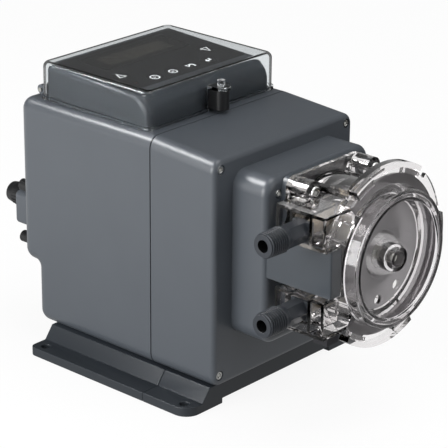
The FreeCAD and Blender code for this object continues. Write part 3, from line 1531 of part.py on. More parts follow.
latch_post()
latch_stud()
terminal_cover()
power_gland()
gland_nut()
signal_gland("upper_signal_gland", D.signal_upper_z)
signal_gland("lower_signal_gland", D.signal_lower_z)
main_board()
transformer()
doc.recompute()

for item in doc.Objects:
    if "Invalid" in item.State or "Error" in item.State:
        raise RuntimeError("{} failed: {}".format(item.Label, item.State))
os.makedirs("parts", exist_ok=True)
for body in finished:
    if body.Shape.isNull() or not body.Shape.isValid():
        raise RuntimeError(body.Label + " has no valid shape")
    body.Shape.exportStep("parts/{}.step".format(body.Label))
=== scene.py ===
import logging
import math
from collections.abc import Callable
from dataclasses import dataclass
from enum import Enum

import bmesh
import bpy
from mathutils import Matrix, Vector


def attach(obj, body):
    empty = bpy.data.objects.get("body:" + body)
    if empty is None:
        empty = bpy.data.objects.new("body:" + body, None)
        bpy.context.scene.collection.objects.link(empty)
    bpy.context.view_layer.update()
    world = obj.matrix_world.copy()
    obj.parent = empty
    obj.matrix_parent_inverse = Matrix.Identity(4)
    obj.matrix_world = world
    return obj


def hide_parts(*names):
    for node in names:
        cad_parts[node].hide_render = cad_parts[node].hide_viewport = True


log = logging.getLogger("dosing_pump")
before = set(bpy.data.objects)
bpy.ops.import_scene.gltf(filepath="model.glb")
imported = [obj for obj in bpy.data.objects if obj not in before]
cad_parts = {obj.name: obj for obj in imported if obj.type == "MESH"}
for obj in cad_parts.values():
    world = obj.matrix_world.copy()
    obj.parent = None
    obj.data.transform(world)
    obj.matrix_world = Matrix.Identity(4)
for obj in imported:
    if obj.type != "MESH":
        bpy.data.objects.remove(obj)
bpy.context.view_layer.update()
MM = 0.001
SAME_POINT = 1e-6
WHITE = (1.0, 1.0, 1.0, 1.0)
BRUSHED_STRETCH = (1.0, 0.06, 1.0)


def linear(code: str) -> tuple[float, float, float, float]:
    """Turns an sRGB hex colour to linear light.

    Args:
        code: six hex digits, such as "3a4048".

    Returns:
        The linear red, green, blue and an alpha of one.
    """
    parts = [int(code[i:i + 2], 16) / 255 for i in (0, 2, 4)]
    light = [c / 12.92 if c <= 0.04045 else ((c + 0.055) / 1.055) ** 2.4 for c in parts]
    return (light[0], light[1], light[2], 1.0)


def add_node(tree: bpy.types.NodeTree, kind: str, settings: dict | None = None,
             links: dict | None = None) -> bpy.types.Node:
    """Adds a node with its settings and its links.

    Args:
        tree: the tree that gets the node.
        kind: the node's type name.
        settings: socket names or numbers, or the node's own properties, with their values.
        links: the node's input names or numbers, with the output socket each one takes.

    Returns:
        The new node.
    """
    node = tree.nodes.new(kind)
    own = {key: value for key, value in (settings or {}).items()
           if isinstance(key, str) and key not in node.inputs}
    for key, value in own.items():
        setattr(node, key, value)
    for key, value in (settings or {}).items():
        if key not in own:
            node.inputs[key].default_value = value
    for key, socket in (links or {}).items():
        tree.links.new(socket, node.inputs[key])
    return node


class Surface(Enum):
    """How a material's surface was made. Brushed relief runs in lines, the others' doesn't."""

    MOULDED = "moulded"
    BRUSHED = "brushed"
    POLISHED = "polished"


@dataclass(frozen=True)
class Finish:
    """A material with the variation and relief of the real one.

    Sizes of patterns are millimetres on the object. A clear finish darkens with its
    thickness by absorb, per metre, towards its tint.
    """

    name: str
    colour: str
    shade: str
    surface: Surface = Surface.MOULDED
    mottle_mm: float = 60.0
    grain_mm: float = 1.2
    relief_mm: float = 0.02
    roughness: float = 0.45
    rough_spread: float = 0.08
    metallic: float = 0.0
    clear: float = 0.0
    ior: float = 1.5
    coat: float = 0.0
    coat_rough: float = 0.3
    glow: float = 0.0
    tint: str = "000000"
    absorb: float = 0.0

    def material(self) -> bpy.types.Material:
        """Builds the material once and gives the same one after that.

        Returns:
            The material.
        """
        made = bpy.data.materials.get(self.name)
        if made:
            return made
        made = bpy.data.materials.new(self.name)
        made.use_nodes = True
        tree = made.node_tree
        tree.nodes.clear()
        place = add_node(tree, "ShaderNodeTexCoord")
        mottle = add_node(tree, "ShaderNodeTexNoise",
                          {"Scale": 1 / (self.mottle_mm * MM), "Detail": 3.0, "Roughness": 0.55},
                          {"Vector": place.outputs["Object"]})
        blend = add_node(tree, "ShaderNodeMix",
                         {"data_type": "RGBA", 6: linear(self.colour), 7: linear(self.shade)},
                         {0: mottle.outputs["Fac"]})
        grain_place = place.outputs["Object"]
        if self.surface is Surface.BRUSHED:
            stretch = add_node(tree, "ShaderNodeMapping", {"Scale": BRUSHED_STRETCH},
                               {"Vector": grain_place})
            grain_place = stretch.outputs["Vector"]
        grain = add_node(tree, "ShaderNodeTexNoise",
                         {"Scale": 1 / (self.grain_mm * MM), "Detail": 2.0, "Roughness": 0.6},
                         {"Vector": grain_place})
        gloss = add_node(tree, "ShaderNodeMapRange",
                         {"To Min": self.roughness - self.rough_spread / 2,
                          "To Max": self.roughness + self.rough_spread / 2},
                         {"Value": mottle.outputs["Fac"]})
        relief = add_node(tree, "ShaderNodeBump",
                          {"Strength": 0.35, "Distance": self.relief_mm * MM},
                          {"Height": grain.outputs["Fac"]})
        shader = add_node(tree, "ShaderNodeBsdfPrincipled",
                          {"Metallic": self.metallic, "IOR": self.ior,
                           "Transmission Weight": self.clear, "Coat Weight": self.coat,
                           "Coat Roughness": self.coat_rough,
                           "Emission Color": linear(self.colour),
                           "Emission Strength": self.glow},
                          {"Base Color": blend.outputs[2], "Roughness": gloss.outputs["Result"],
                           "Normal": relief.outputs["Normal"]})
        output = add_node(tree, "ShaderNodeOutputMaterial", None,
                          {"Surface": shader.outputs["BSDF"]})
        if self.absorb:
            depth = add_node(tree, "ShaderNodeVolumeAbsorption",
                             {"Color": linear(self.tint), "Density": self.absorb})
            tree.links.new(depth.outputs["Volume"], output.inputs["Volume"])
        made.diffuse_color = linear(self.colour)
        return made

    def dress(self, *names: str) -> None:
        """Gives the finish to CAD nodes.

        Args:
            names: the nodes' names.
        """
        for name in names:
            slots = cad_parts[name].data.materials
            slots.clear()
            slots.append(self.material())
            log.info("%s: dressed in %s", name, self.name)


# Glass-filled moulded plastic, slate grey: a soft satin with a faint cloudiness
HOUSING = Finish("moulded_slate_plastic", "4e5359", "464b51", roughness=0.38, coat=0.3)
# The head's bracket is the housing's plastic made darker: painted shade on the bracket.
SHADED_BRACKET = Finish("moulded_slate_bracket_painted_shade", "3e444a", "383d43", roughness=0.36, coat=0.25)
# The foot is the housing's plastic made darker: painted shade on the foot.
SHADED_STAND = Finish("moulded_slate_stand_painted_shade", "282d33", "23282d", roughness=0.45)
# Darker plastic and rubber: the fittings, the glands and the seals
FITTING = Finish("moulded_dark_plastic", "2f3339", "282c32", roughness=0.36, mottle_mm=12)
BLACK = Finish("black_nylon", "17181a", "0f1011", roughness=0.42, mottle_mm=14)
RUBBER = Finish("black_rubber", "141414", "1c1c1c", roughness=0.8, grain_mm=0.6, mottle_mm=9)
# Metal: bright screw heads, and turned or drawn pieces with fine lines from the tool
BRIGHT = Finish("bright_zinc_screws", "c4c4c2", "b2b2b0", Surface.POLISHED, mottle_mm=6,
                grain_mm=0.5, relief_mm=0.004, roughness=0.0, rough_spread=0.0, metallic=1.0)
STEEL = Finish("plated_steel", "b9b9b4", "a3a39e", Surface.BRUSHED, mottle_mm=8,
               grain_mm=0.25, relief_mm=0.01, roughness=0.28, rough_spread=0.1, metallic=1.0)
BRASS = Finish("turned_brass", "c9a45c", "b08b46", Surface.BRUSHED, mottle_mm=6,
               grain_mm=0.3, relief_mm=0.01, roughness=0.3, rough_spread=0.1, metallic=1.0)
# Smoky polycarbonate: clear enough to show the rotor, brown-grey where it is thick
SMOKE = Finish("smoky_polycarbonate", "fbfafa", "f8f6f6", Surface.POLISHED, mottle_mm=40,
               grain_mm=3.0, relief_mm=0.004, roughness=0.0, rough_spread=0.0,
               clear=1.0, ior=1.45, tint="6a5e5c", absorb=14.0)
COVER = Finish("smoky_cover", "fbf9fa", "f7f5f6", Surface.POLISHED, mottle_mm=40,
               grain_mm=3.0, relief_mm=0.004, roughness=0.0, rough_spread=0.0,
               clear=1.0, ior=1.45, tint="5c5658", absorb=14.0)
# The round cover's frosted floor, the keypad's clear cover and its clear stud
FROST = Finish("smoky_cover_frosted", "c2bfc1", "b9b6b8", Surface.POLISHED, mottle_mm=40,
               relief_mm=0.01, roughness=0.22, rough_spread=0.05, clear=0.45, ior=1.45)
CLEAR = Finish("clear_polycarbonate", "f4f6f7", "eef1f2", Surface.POLISHED, mottle_mm=50,
               grain_mm=4.0, relief_mm=0.003, roughness=0.02, rough_spread=0.01,
               clear=1.0, ior=1.3)
KNOB = Finish("clear_knob", "f4f6f7", "eef1f2", Surface.POLISHED, mottle_mm=20,
              grain_mm=3.0, relief_mm=0.003, roughness=0.0, rough_spread=0.0,
              clear=1.0, ior=1.45)
# What lies or turns in the head and in the housing
TUBE = Finish("pump_tube_elastomer", "b9ad98", "a99d88", roughness=0.5, mottle_mm=10)
ROTOR = Finish("glass_filled_nylon", "93908e", "878482", roughness=0.5, mottle_mm=14)
BUSH = Finish("natural_nylon_bush", "d2d0cd", "c8c5c2", Surface.POLISHED, mottle_mm=8,
              grain_mm=2.0, relief_mm=0.004, roughness=0.2, rough_spread=0.05, clear=0.8)
ROLLER = Finish("white_acetal", "cfccc4", "c2beb5", roughness=0.35, mottle_mm=10)
GEAR = Finish("natural_acetal", "dcd8cc", "cfcabc", roughness=0.4, mottle_mm=10)
MOTOR = Finish("motor_enamel", "26272a", "1d1e20", roughness=0.4, mottle_mm=15)
CORE = Finish("laminated_core", "5b564f", "46423d", Surface.BRUSHED, mottle_mm=10,
              grain_mm=0.5, roughness=0.5, rough_spread=0.1, metallic=0.6)
BOARD = Finish("circuit_board_lacquer", "14502c", "0f4424", roughness=0.35, mottle_mm=8)
# The keypad's printed sheet and its display
OVERLAY = Finish("printed_polyester", "1e1f22", "191a1c", roughness=0.5, mottle_mm=40,
                 grain_mm=0.8, relief_mm=0.002)
DISPLAY = Finish("display_glass", "0a0b0c", "070808", Surface.POLISHED, mottle_mm=30,
                 grain_mm=3.0, relief_mm=0.002, roughness=0.12, rough_spread=0.02)
CELLS = Finish("display_cells", "4a463d", "413e36", Surface.POLISHED, mottle_mm=6,
               grain_mm=1.5, relief_mm=0.002, roughness=0.2, rough_spread=0.04)
# The keys' white ink glows though no lamp lights it: painted light, so the symbols show bright
# through the clear cover
GLOW_PAINTED_INK = Finish("white_ink_painted_glow", "f2f3f4", "e6e7e8", roughness=0.6, mottle_mm=5, glow=1.0)
# The status lamp, unlit
LAMP = Finish("lamp_lens", "3a1713", "301210", Surface.POLISHED, mottle_mm=3,
              grain_mm=1.0, relief_mm=0.002, roughness=0.15, rough_spread=0.02)


def add_piece(name: str, mesh: bpy.types.Mesh, finish: Finish, body: str) -> bpy.types.Object:
    """Puts a finished mesh into the scene as a piece of the pump.

    Args:
        name: the piece's name.
        mesh: its mesh, in the pump's frame.
        finish: what it is made of.
        body: the moving body it rides on.

    Returns:
        The new object.
    """
    mesh.name = name
    if not mesh.materials:
        mesh.materials.append(finish.material())
    piece = bpy.data.objects.new(name, mesh)
    bpy.context.scene.collection.objects.link(piece)
    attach(piece, body)
    log.info("%s: %d faces, rides on %s", name, len(mesh.polygons), body)
    return piece


DRAWN_IN = 0.03 * MM
FLAT_WITHIN = math.radians(0.5)
SHARP_FROM = math.radians(30)
EASED_FROM = math.radians(40)
EASED_SEGMENTS = 2


def stand_in(node: str, finish: Finish, body: str, bevel: float = 0.35,
             second: Finish | None = None,
             chosen: Callable[[Vector, Vector], bool] | None = None,
             crisp: bool = False) -> None:
    """Puts a merged copy with eased edges in the place of a CAD node.

    Its faces are drawn in a hair, because a clear face that lies exactly on an opaque
    one shows black. The eased edges catch the light as moulded ones do.

    Args:
        node: the CAD node.
        finish: what it is made of.
        body: the moving body it rides on.
        bevel: the width of its eased edges, in millimetres.
        second: another finish, for some of its faces.
        chosen: tells by a face's middle and normal whether it takes that finish.
        crisp: whether its faces stay flat and its short edges are eased as wide as the others.
    """
    bm = bmesh.new()
    bm.from_mesh(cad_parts[node].data)
    bmesh.ops.remove_doubles(bm, verts=bm.verts, dist=SAME_POINT)
    bmesh.ops.dissolve_limit(bm, angle_limit=FLAT_WITHIN, verts=bm.verts, edges=bm.edges)
    bm.normal_update()
    drawn = [(vertex, vertex.normal.copy()) for vertex in bm.verts]
    for vertex, outwards in drawn:
        vertex.co -= outwards * DRAWN_IN
    mesh = bpy.data.meshes.new(node + "_moulded")
    bm.to_mesh(mesh)
    bm.free()
    mesh.materials.append(finish.material())
    if second and chosen:
        mesh.materials.append(second.material())
        for face in mesh.polygons:
            face.material_index = int(chosen(face.center, face.normal))
    for face in mesh.polygons:
        face.use_smooth = True
    mesh.set_sharp_from_angle(angle=SHARP_FROM)
    piece = add_piece(node + "_moulded", mesh, finish, body)
    edges = piece.modifiers.new("eased_edges", "BEVEL")
    edges.width = bevel * MM
    edges.segments = EASED_SEGMENTS
    edges.limit_method = "ANGLE"
    edges.angle_limit = EASED_FROM
    edges.harden_normals = crisp
    edges.use_clamp_overlap = not crisp
    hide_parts(node)


def grow(name: str, seed: bpy.types.Mesh, tree: bpy.types.NodeTree,
         values: dict[str, object]) -> bpy.types.Mesh:
    """Runs a geometry tree on a mesh and returns the plain mesh it makes.

    Args:
        name: the name for the result.
        seed: the mesh that the tree starts from.
        tree: the geometry tree.
        values: the tree's named inputs and their values.

    Returns:
        The mesh that the tree makes, with no modifier left.
    """
    holder = bpy.data.objects.new(name + "_holder", seed)
    bpy.context.scene.collection.objects.link(holder)
    modifier = holder.modifiers.new("grow", "NODES")
    modifier.node_group = tree
    for item in tree.interface.items_tree:
        if item.item_type == "SOCKET" and item.in_out == "INPUT" and item.name in values:
            modifier[item.identifier] = values[item.name]
    holder.update_tag()
    bpy.context.view_layer.update()
    graph = bpy.context.evaluated_depsgraph_get()
    made = bpy.data.meshes.new_from_object(holder.evaluated_get(graph), depsgraph=graph)
    made.name = name
    holder.modifiers.remove(modifier)
    bpy.data.objects.remove(holder)
    return made


def new_tree(name: str, inputs: dict[str, str]) -> tuple[bpy.types.NodeTree, bpy.types.Node]:
    """Starts a geometry tree with named inputs.

    Args:
        name: the tree's name.
        inputs: each input's name and its socket type.

    Returns:
        The tree and its input node.
    """
    tree = bpy.data.node_groups.new(name, "GeometryNodeTree")
    tree.interface.new_socket(name="Geometry", in_out="INPUT", socket_type="NodeSocketGeometry")
    for label, kind in inputs.items():
        tree.interface.new_socket(name=label, in_out="INPUT", socket_type=kind)
    tree.interface.new_socket(name="Geometry", in_out="OUTPUT", socket_type="NodeSocketGeometry")
    return tree, add_node(tree, "NodeGroupInput")


def close_tree(tree: bpy.types.NodeTree, geometry: bpy.types.NodeSocket,
               material: bpy.types.NodeSocket) -> None:
    """Ends a geometry tree in Realize Instances and Set Material.

    Args:
        tree: the tree to end.
        geometry: the socket with the finished geometry.
        material: the socket with its material.
    """
    real = add_node(tree, "GeometryNodeRealizeInstances", None, {"Geometry": geometry})
    painted = add_node(tree, "GeometryNodeSetMaterial", None,
                       {"Geometry": real.outputs["Geometry"], "Material": material})
    add_node(tree, "NodeGroupOutput", None, {"Geometry": painted.outputs["Geometry"]})


def scatter_tree() -> bpy.types.NodeTree:
    """A tree that sets one object on each point of the seed mesh, turned to a direction.

    Returns:
        The tree, with inputs for the object, its turn and its material.
    """
    tree, entry = new_tree("set_on_points", {
        "Object": "NodeSocketObject", "Turn": "NodeSocketRotation",
        "Material": "NodeSocketMaterial"})
    item = add_node(tree, "GeometryNodeObjectInfo", None, {"Object": entry.outputs["Object"]})
    placed = add_node(tree, "GeometryNodeInstanceOnPoints", None, {
        "Points": entry.outputs["Geometry"], "Instance": item.outputs["Geometry"],
        "Rotation": entry.outputs["Turn"]})
    close_tree(tree, placed.outputs["Instances"], entry.outputs["Material"])
    return tree


def spiral_tree() -> bpy.types.NodeTree:
    """A tree that winds a thread's ridge about Z from the foot of the piece upwards.

    Returns:
        The tree, with inputs for the thread's sizes and its material.
    """
    tree, entry = new_tree("thread_ridge", {
        "Turns": "NodeSocketFloat", "Low Radius": "NodeSocketFloat",
        "High Radius": "NodeSocketFloat", "Length": "NodeSocketFloat",
        "Ridge": "NodeSocketFloat", "Material": "NodeSocketMaterial"})
    spiral = add_node(tree, "GeometryNodeCurveSpiral", {"Resolution": 28}, {
        "Rotations": entry.outputs["Turns"], "Start Radius": entry.outputs["Low Radius"],
        "End Radius": entry.outputs["High Radius"], "Height": entry.outputs["Length"]})
    profile = add_node(tree, "GeometryNodeCurvePrimitiveCircle", {"Resolution": 6}, {
        "Radius": entry.outputs["Ridge"]})
    ridge = add_node(tree, "GeometryNodeCurveToMesh", {"Fill Caps": True}, {
        "Curve": spiral.outputs["Curve"], "Profile Curve": profile.outputs["Curve"]})
    close_tree(tree, ridge.outputs["Mesh"], entry.outputs["Material"])
    return tree


def ribs_tree() -> bpy.types.NodeTree:
    """A tree that stands ribs round a circle about Z, for a nut's grip.

    Returns:
        The tree, with inputs for the ribs' count and sizes and their material.
    """
    tree, entry = new_tree("grip_ribs", {
        "Count": "NodeSocketInt", "Radius": "NodeSocketFloat", "Length": "NodeSocketFloat",
        "Width": "NodeSocketFloat", "Material": "NodeSocketMaterial"})
    circle = add_node(tree, "GeometryNodeMeshCircle", None, {
        "Vertices": entry.outputs["Count"], "Radius": entry.outputs["Radius"]})
    size = add_node(tree, "ShaderNodeCombineXYZ", None, {
        "X": entry.outputs["Width"], "Y": entry.outputs["Width"], "Z": entry.outputs["Length"]})
    rib = add_node(tree, "GeometryNodeMeshCube", None, {"Size": size.outputs["Vector"]})
    place = add_node(tree, "GeometryNodeInputPosition")
    facing = add_node(tree, "FunctionNodeAlignRotationToVector", {"axis": "X"}, {
        "Vector": place.outputs["Position"]})
    set_out = add_node(tree, "GeometryNodeInstanceOnPoints", None, {
        "Points": circle.outputs["Mesh"], "Instance": rib.outputs["Mesh"],
        "Rotation": facing.outputs["Rotation"]})
    close_tree(tree, set_out.outputs["Instances"], entry.outputs["Material"])
    return tree


def point_mesh(places: list[Vector]) -> bpy.types.Mesh:
    """A mesh of loose points.

    Args:
        places: where they lie.

    Returns:
        The mesh.
    """
    mesh = bpy.data.meshes.new("places")
    mesh.from_pydata([tuple(p) for p in places], [], [])
    return mesh


@dataclass
class Fasteners:
    """Socket screws: a shank and a bevelled head with a six-sided recess, set out on points.

    Sizes are millimetres. The head's edge is rounded in two steps above its shoulder.
    """

    head_radius: float
    head_height: float
    shank_radius: float
    shank_length: float
    recess_radius: float
    recess_depth: float
    shoulder: float = 0.6
    first_step: tuple[float, float] = (0.94, 0.85)
    crown: float = 0.82
    recess_lip: float = 1.12
    recess_start: float = 0.93
    sides: int = 24

    def ring(self, bm: bmesh.types.BMesh, radius: float, height: float,
             hexagonal: bool = False) -> list[bmesh.types.BMVert]:
        """Adds one ring of points about Z.

        Args:
            bm: the mesh under construction.
            radius: the ring's radius, or a hexagon's corner radius, in millimetres.
            height: its height in millimetres.
            hexagonal: whether its points lie on a hexagon.

        Returns:
            The ring's points.
        """
        points = []
        for step in range(self.sides):
            angle = 2 * math.pi * step / self.sides
            reach = radius
            if hexagonal:
                reach *= math.cos(math.pi / 6) / math.cos(angle % (math.pi / 3) - math.pi / 6)
            place = Vector((reach * math.cos(angle), reach * math.sin(angle), height))
            points.append(bm.verts.new(place * MM))
        return points

    def template(self) -> bpy.types.Object:
        """One screw about Z, its head's seat at the origin, for the tree to copy.

        Returns:
            The screw, an object in the scene.
        """
        head, high, recess = self.head_radius, self.head_height, self.recess_radius
        inwards, upwards = self.first_step
        bm = bmesh.new()
        rings = [self.ring(bm, self.shank_radius, -self.shank_length),
                 self.ring(bm, self.shank_radius, 0), self.ring(bm, head, 0),
                 self.ring(bm, head, high * self.shoulder),
                 self.ring(bm, head * inwards, high * upwards),
                 self.ring(bm, head * self.crown, high),
                 self.ring(bm, recess * self.recess_lip, high),
                 self.ring(bm, recess, high * self.recess_start, True),
                 self.ring(bm, recess, high - self.recess_depth, True)]
        for low, top in zip(rings, rings[1:]):
            for step in range(self.sides):
                nxt = (step + 1) % self.sides
                bm.faces.new([low[step], low[nxt], top[nxt], top[step]])
        bm.faces.new(rings[0])
        bm.faces.new(rings[-1])
        bmesh.ops.recalc_face_normals(bm, faces=bm.faces)
        mesh = bpy.data.meshes.new("screw")
        bm.to_mesh(mesh)
        bm.free()
        item = bpy.data.objects.new("screw_template", mesh)
        bpy.context.scene.collection.objects.link(item)
        return item

    def build(self, name: str, node: str, places: list[Vector], tree: bpy.types.NodeTree) -> None:
        """Sets a screw on each place, its head to the front.

        Args:
            name: the piece's name.
            node: the CAD node that the piece stands for.
            places: the centres of the heads' seats.
            tree: the tree that sets objects on points.
        """
        template = self.template()
        turn = Matrix.Rotation(math.radians(90), 4, "X").to_euler()
        mesh = grow(name, point_mesh(places), tree,
                    {"Object": template, "Turn": turn, "Material": BRIGHT.material()})
        bpy.data.objects.remove(template)
        piece = add_piece(name, mesh, BRIGHT, "pump")
        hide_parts(node)


def corners(half_width: float, low: float, high: float, y: float) -> list[Vector]:
    """Four places in an upright plane, in metres.

    Args:
        half_width: how far to either side they stand, in millimetres.
        low: the height of the lower two, in millimetres.
        high: the height of the upper two, in millimetres.
        y: the plane, in millimetres.

    Returns:
        The places.
    """
    return [Vector((x, y, z)) * MM for x in (-half_width, half_width) for z in (low, high)]


@dataclass
class Stand:
    """The two-piece foot."""

    eased: float = 0.7

    def build(self) -> None:
        """Eases the foot's edges, so that its seam shows, and dresses its screws."""
        # The foot's darker plastic is painted shade.
        for node in ("foot_rear", "foot_front"):
            stand_in(node, SHADED_STAND, "pump", bevel=self.eased, crisp=True)
        STEEL.dress("foot_screws")
        log.info("stand dressed")


@dataclass
class DriveHousing:
    """The two halves of the housing, the boss and their screws, in millimetres."""

    screw_x: float = 67.9
    screw_low: float = 25.7
    screw_high: float = 181.5
    screw_seat: float = -82.0
    boss_screw_x: float = 43.0
    boss_screw_low: float = 65.8
    boss_screw_high: float = 165.4
    boss_screw_seat: float = -114.0

    def build(self, tree: bpy.types.NodeTree) -> None:
        """Dresses the shells and adds the screws that hold them.

        Args:
            tree: the tree that sets objects on points.
        """
        HOUSING.dress("rear_housing", "front_housing")
        RUBBER.dress("housing_gasket")
        long_screws = Fasteners(head_radius=3.55, head_height=2.4, shank_radius=2,
                                shank_length=76, recess_radius=1.9, recess_depth=1.7)
        long_screws.build(
            "housing_socket_screws", "housing_screws",
            corners(self.screw_x, self.screw_low, self.screw_high, self.screw_seat), tree)
        short_screws = Fasteners(head_radius=3.35, head_height=2, shank_radius=2,
                                 shank_length=30, recess_radius=1.8, recess_depth=1.5)
        short_screws.build(
            "boss_socket_screws", "boss_screws",
            corners(self.boss_screw_x, self.boss_screw_low, self.boss_screw_high,
                    self.boss_screw_seat), tree)
        log.info("drive housing dressed")


@dataclass
class Panel:
    """The sloping keypad panel: a plane with its own directions."""

    front: float = -12.8 * MM
    base: float = 214.6 * MM
    slope: float = math.atan2(4.4, 103.7)

    def at(self, x: float, y: float, lift: float = 0.0) -> Vector:
        """A point of the panel.

        Args:
            x: millimetres to the right of the middle.
            y: millimetres up the slope from the front.
            lift: millimetres above the panel.

        Returns:
            The point in the pump's frame, in metres.
        """
        c, s = math.cos(self.slope), math.sin(self.slope)
        return Vector((x * MM, self.front + (y * c - lift * s) * MM,
                       self.base + (y * s + lift * c) * MM))


@dataclass
class Symbols:
    """A pen that draws the keys' printed symbols as thin raised ink, in millimetres."""

    panel: Panel
    width: float
    lift: float = 0.04

    def stroke(self, bm: bmesh.types.BMesh, line: list[tuple[float, float]], closed: bool,
               centre: tuple[float, float]) -> None:
        """Adds one line of ink.

        Args:
            bm: the mesh under construction.
            line: its points, in millimetres from the symbol's centre.
            closed: whether the last point joins the first.
            centre: the symbol's centre on the panel.
        """
        count = len(line)
        rails = []
        for number, (x, y) in enumerate(line):
            before = line[number - 1] if number or closed else line[0]
            after = line[(number + 1) % count] if number < count - 1 or closed else line[-1]
            along = Vector((after[0] - before[0], after[1] - before[1])).normalized()
            side = Vector((-along.y, along.x)) * self.width / 2
            pair = []
            for sign in (-1, 1):
                at = (centre[0] + x + side.x * sign, centre[1] + y + side.y * sign)
                pair.append([bm.verts.new(self.panel.at(*at, high)) for high in (0.0, self.lift)])
            rails.append(pair)
        last = count if closed else count - 1
        for number in range(last):
            (a, b), (c, d) = rails[number], rails[(number + 1) % count]
            bm.faces.new([a[1], c[1], d[1], b[1]])
            bm.faces.new([a[0], b[0], d[0], c[0]])
            bm.faces.new([a[0], c[0], c[1], a[1]])
            bm.faces.new([b[0], b[1], d[1], d[0]])
        if not closed:
            for pair in (rails[0], rails[-1]):
                bm.faces.new([pair[0][0], pair[0][1], pair[1][1], pair[1][0]])

    def add(self, name: str, lines: list[tuple[list[tuple[float, float]], bool]],
            centre: tuple[float, float], body: str) -> None:
        """Adds a symbol as a piece.

        Args:
            name: the piece's name.
            lines: its strokes, each with whether it is closed.
            centre: its centre on the panel, in millimetres.
            body: the body it rides on.
        """
        bm = bmesh.new()
        for line, closed in lines:
            self.stroke(bm, line, closed, centre)
        bmesh.ops.recalc_face_normals(bm, faces=bm.faces)
        mesh = bpy.data.meshes.new(name)
        bm.to_mesh(mesh)
        bm.free()
        # The ink's glow is painted light.
        add_piece(name, mesh, GLOW_PAINTED_INK, body)


def ring_points(radius: float, steps: int = 24) -> list[tuple[float, float]]:
    """Points round a circle about the origin.

    Args:
        radius: the circle's radius.
        steps: how many points it has.

    Returns:
        The points.
    """
    angles = [math.radians(360 * step / steps) for step in range(steps)]
    return [(radius * math.cos(a), radius * math.sin(a)) for a in angles]


@dataclass
class Keypad:
    """The keypad housing with its panel, keys, display and hinged clear cover."""

    pitch: float = 19.0
    row: float = 28.2
    arrow_x: float = 45.5
    arrow_row: float = 46.2
    display_middle: float = 75.8
    cells_width: float = 66.0
    cells_height: float = 17.0
    cells_lift: float = 0.05
    fine_line: float = 0.8
    ring_line: float = 1.05
    bold_line: float = 1.6
    start_ring: float = 3.5
    stop_ring: float = 3.1

    def build(self) -> None:
        """Dresses the keypad and draws its symbols."""
        HOUSING.dress("control_pod", "hinge_brackets")
        OVERLAY.dress("panel_overlay", "key_down", "key_up", "key_start", "key_stop",
                      "key_back", "key_enter")
        DISPLAY.dress("display_window")
        BOARD.dress("display_module", "key_board")
        LAMP.dress("status_lamp")
        STEEL.dress("hinge_pin")
        CLEAR.dress("panel_cover")
        stand_in("latch_stud", KNOB, "latch_stud")
        BLACK.dress("latch_post")
        self.symbols()
        self.cells()
        log.info("keypad dressed")

    def symbols(self) -> None:
        """Draws the generic symbols on the six keys."""
        panel = Panel()
        fine, bold = Symbols(panel, self.fine_line), Symbols(panel, self.bold_line)
        line = Symbols(panel, self.ring_line)
        left, right = (-self.arrow_x, self.arrow_row), (self.arrow_x, self.arrow_row)
        start, stop, back, enter = [(share * self.pitch, self.row)
                                    for share in (-1.5, -0.5, 0.5, 1.5)]
        rising = [(-3.0, -2.7), (3.0, -2.7), (0, 4.4)]
        falling = [(x, -y) for x, y in rising]
        play = [(-0.7, -1.0), (1.1, 0), (-0.7, 1.0)]
        square = [(-0.6, -0.6), (0.6, -0.6), (0.6, 0.6), (-0.6, 0.6)]
        hook = [(-1.2, 0.6), (0.2, 2.0), (1.8, 2.2), (3.0, 1.1), (3.2, -0.7), (2.6, -2.4)]
        barb = [(-3.0, 2.5), (-2.9, -1.0), (0.4, 1.6)]
        elbow = [(2.4, 2.8), (2.4, -0.4), (-2.0, -0.4)]
        head = [(-0.8, 1.3), (-2.5, -0.4), (-0.8, -2.1)]
        drawings = [
            ("symbol_rising", bold, [(rising, True)], left, "key_down"),
            ("symbol_falling", bold, [(falling, True)], right, "key_up"),
            ("ring_start", line, [(ring_points(self.start_ring), True)], start, "key_start"),
            ("symbol_start", fine, [(play, True)], start, "key_start"),
            ("ring_stop", line, [(ring_points(self.stop_ring), True)], stop, "key_stop"),
            ("symbol_stop", fine, [(square, True)], stop, "key_stop"),
            ("symbol_back", bold, [(hook, False), (barb, True)], back, "key_back"),
            ("symbol_enter", bold, [(elbow, False), (head, False)], enter, "key_enter")]
        for name, pen, lines, centre, key in drawings:
            pen.add(name, lines, centre, key)

    def cells(self) -> None:
        """Adds the display's active area, a thin film on the glass."""
        panel = Panel()
        half_w, half_h = self.cells_width / 2, self.cells_height / 2
        outline = [(-half_w, -half_h), (half_w, -half_h), (half_w, half_h), (-half_w, half_h)]
        bm = bmesh.new()
        layers = [[bm.verts.new(panel.at(x, self.display_middle + y, lift)) for x, y in outline]
                  for lift in (0.0, self.cells_lift)]
        bm.faces.new(layers[1])
        bm.faces.new(layers[0][::-1])
        for number in range(4):
            nxt = (number + 1) % 4
            bm.faces.new([layers[0][number], layers[0][nxt], layers[1][nxt], layers[1][number]])
        bmesh.ops.recalc_face_normals(bm, faces=bm.faces)
        mesh = bpy.data.meshes.new("display_area")
        bm.to_mesh(mesh)
        bm.free()
        add_piece("display_area", mesh, CELLS, "pump")


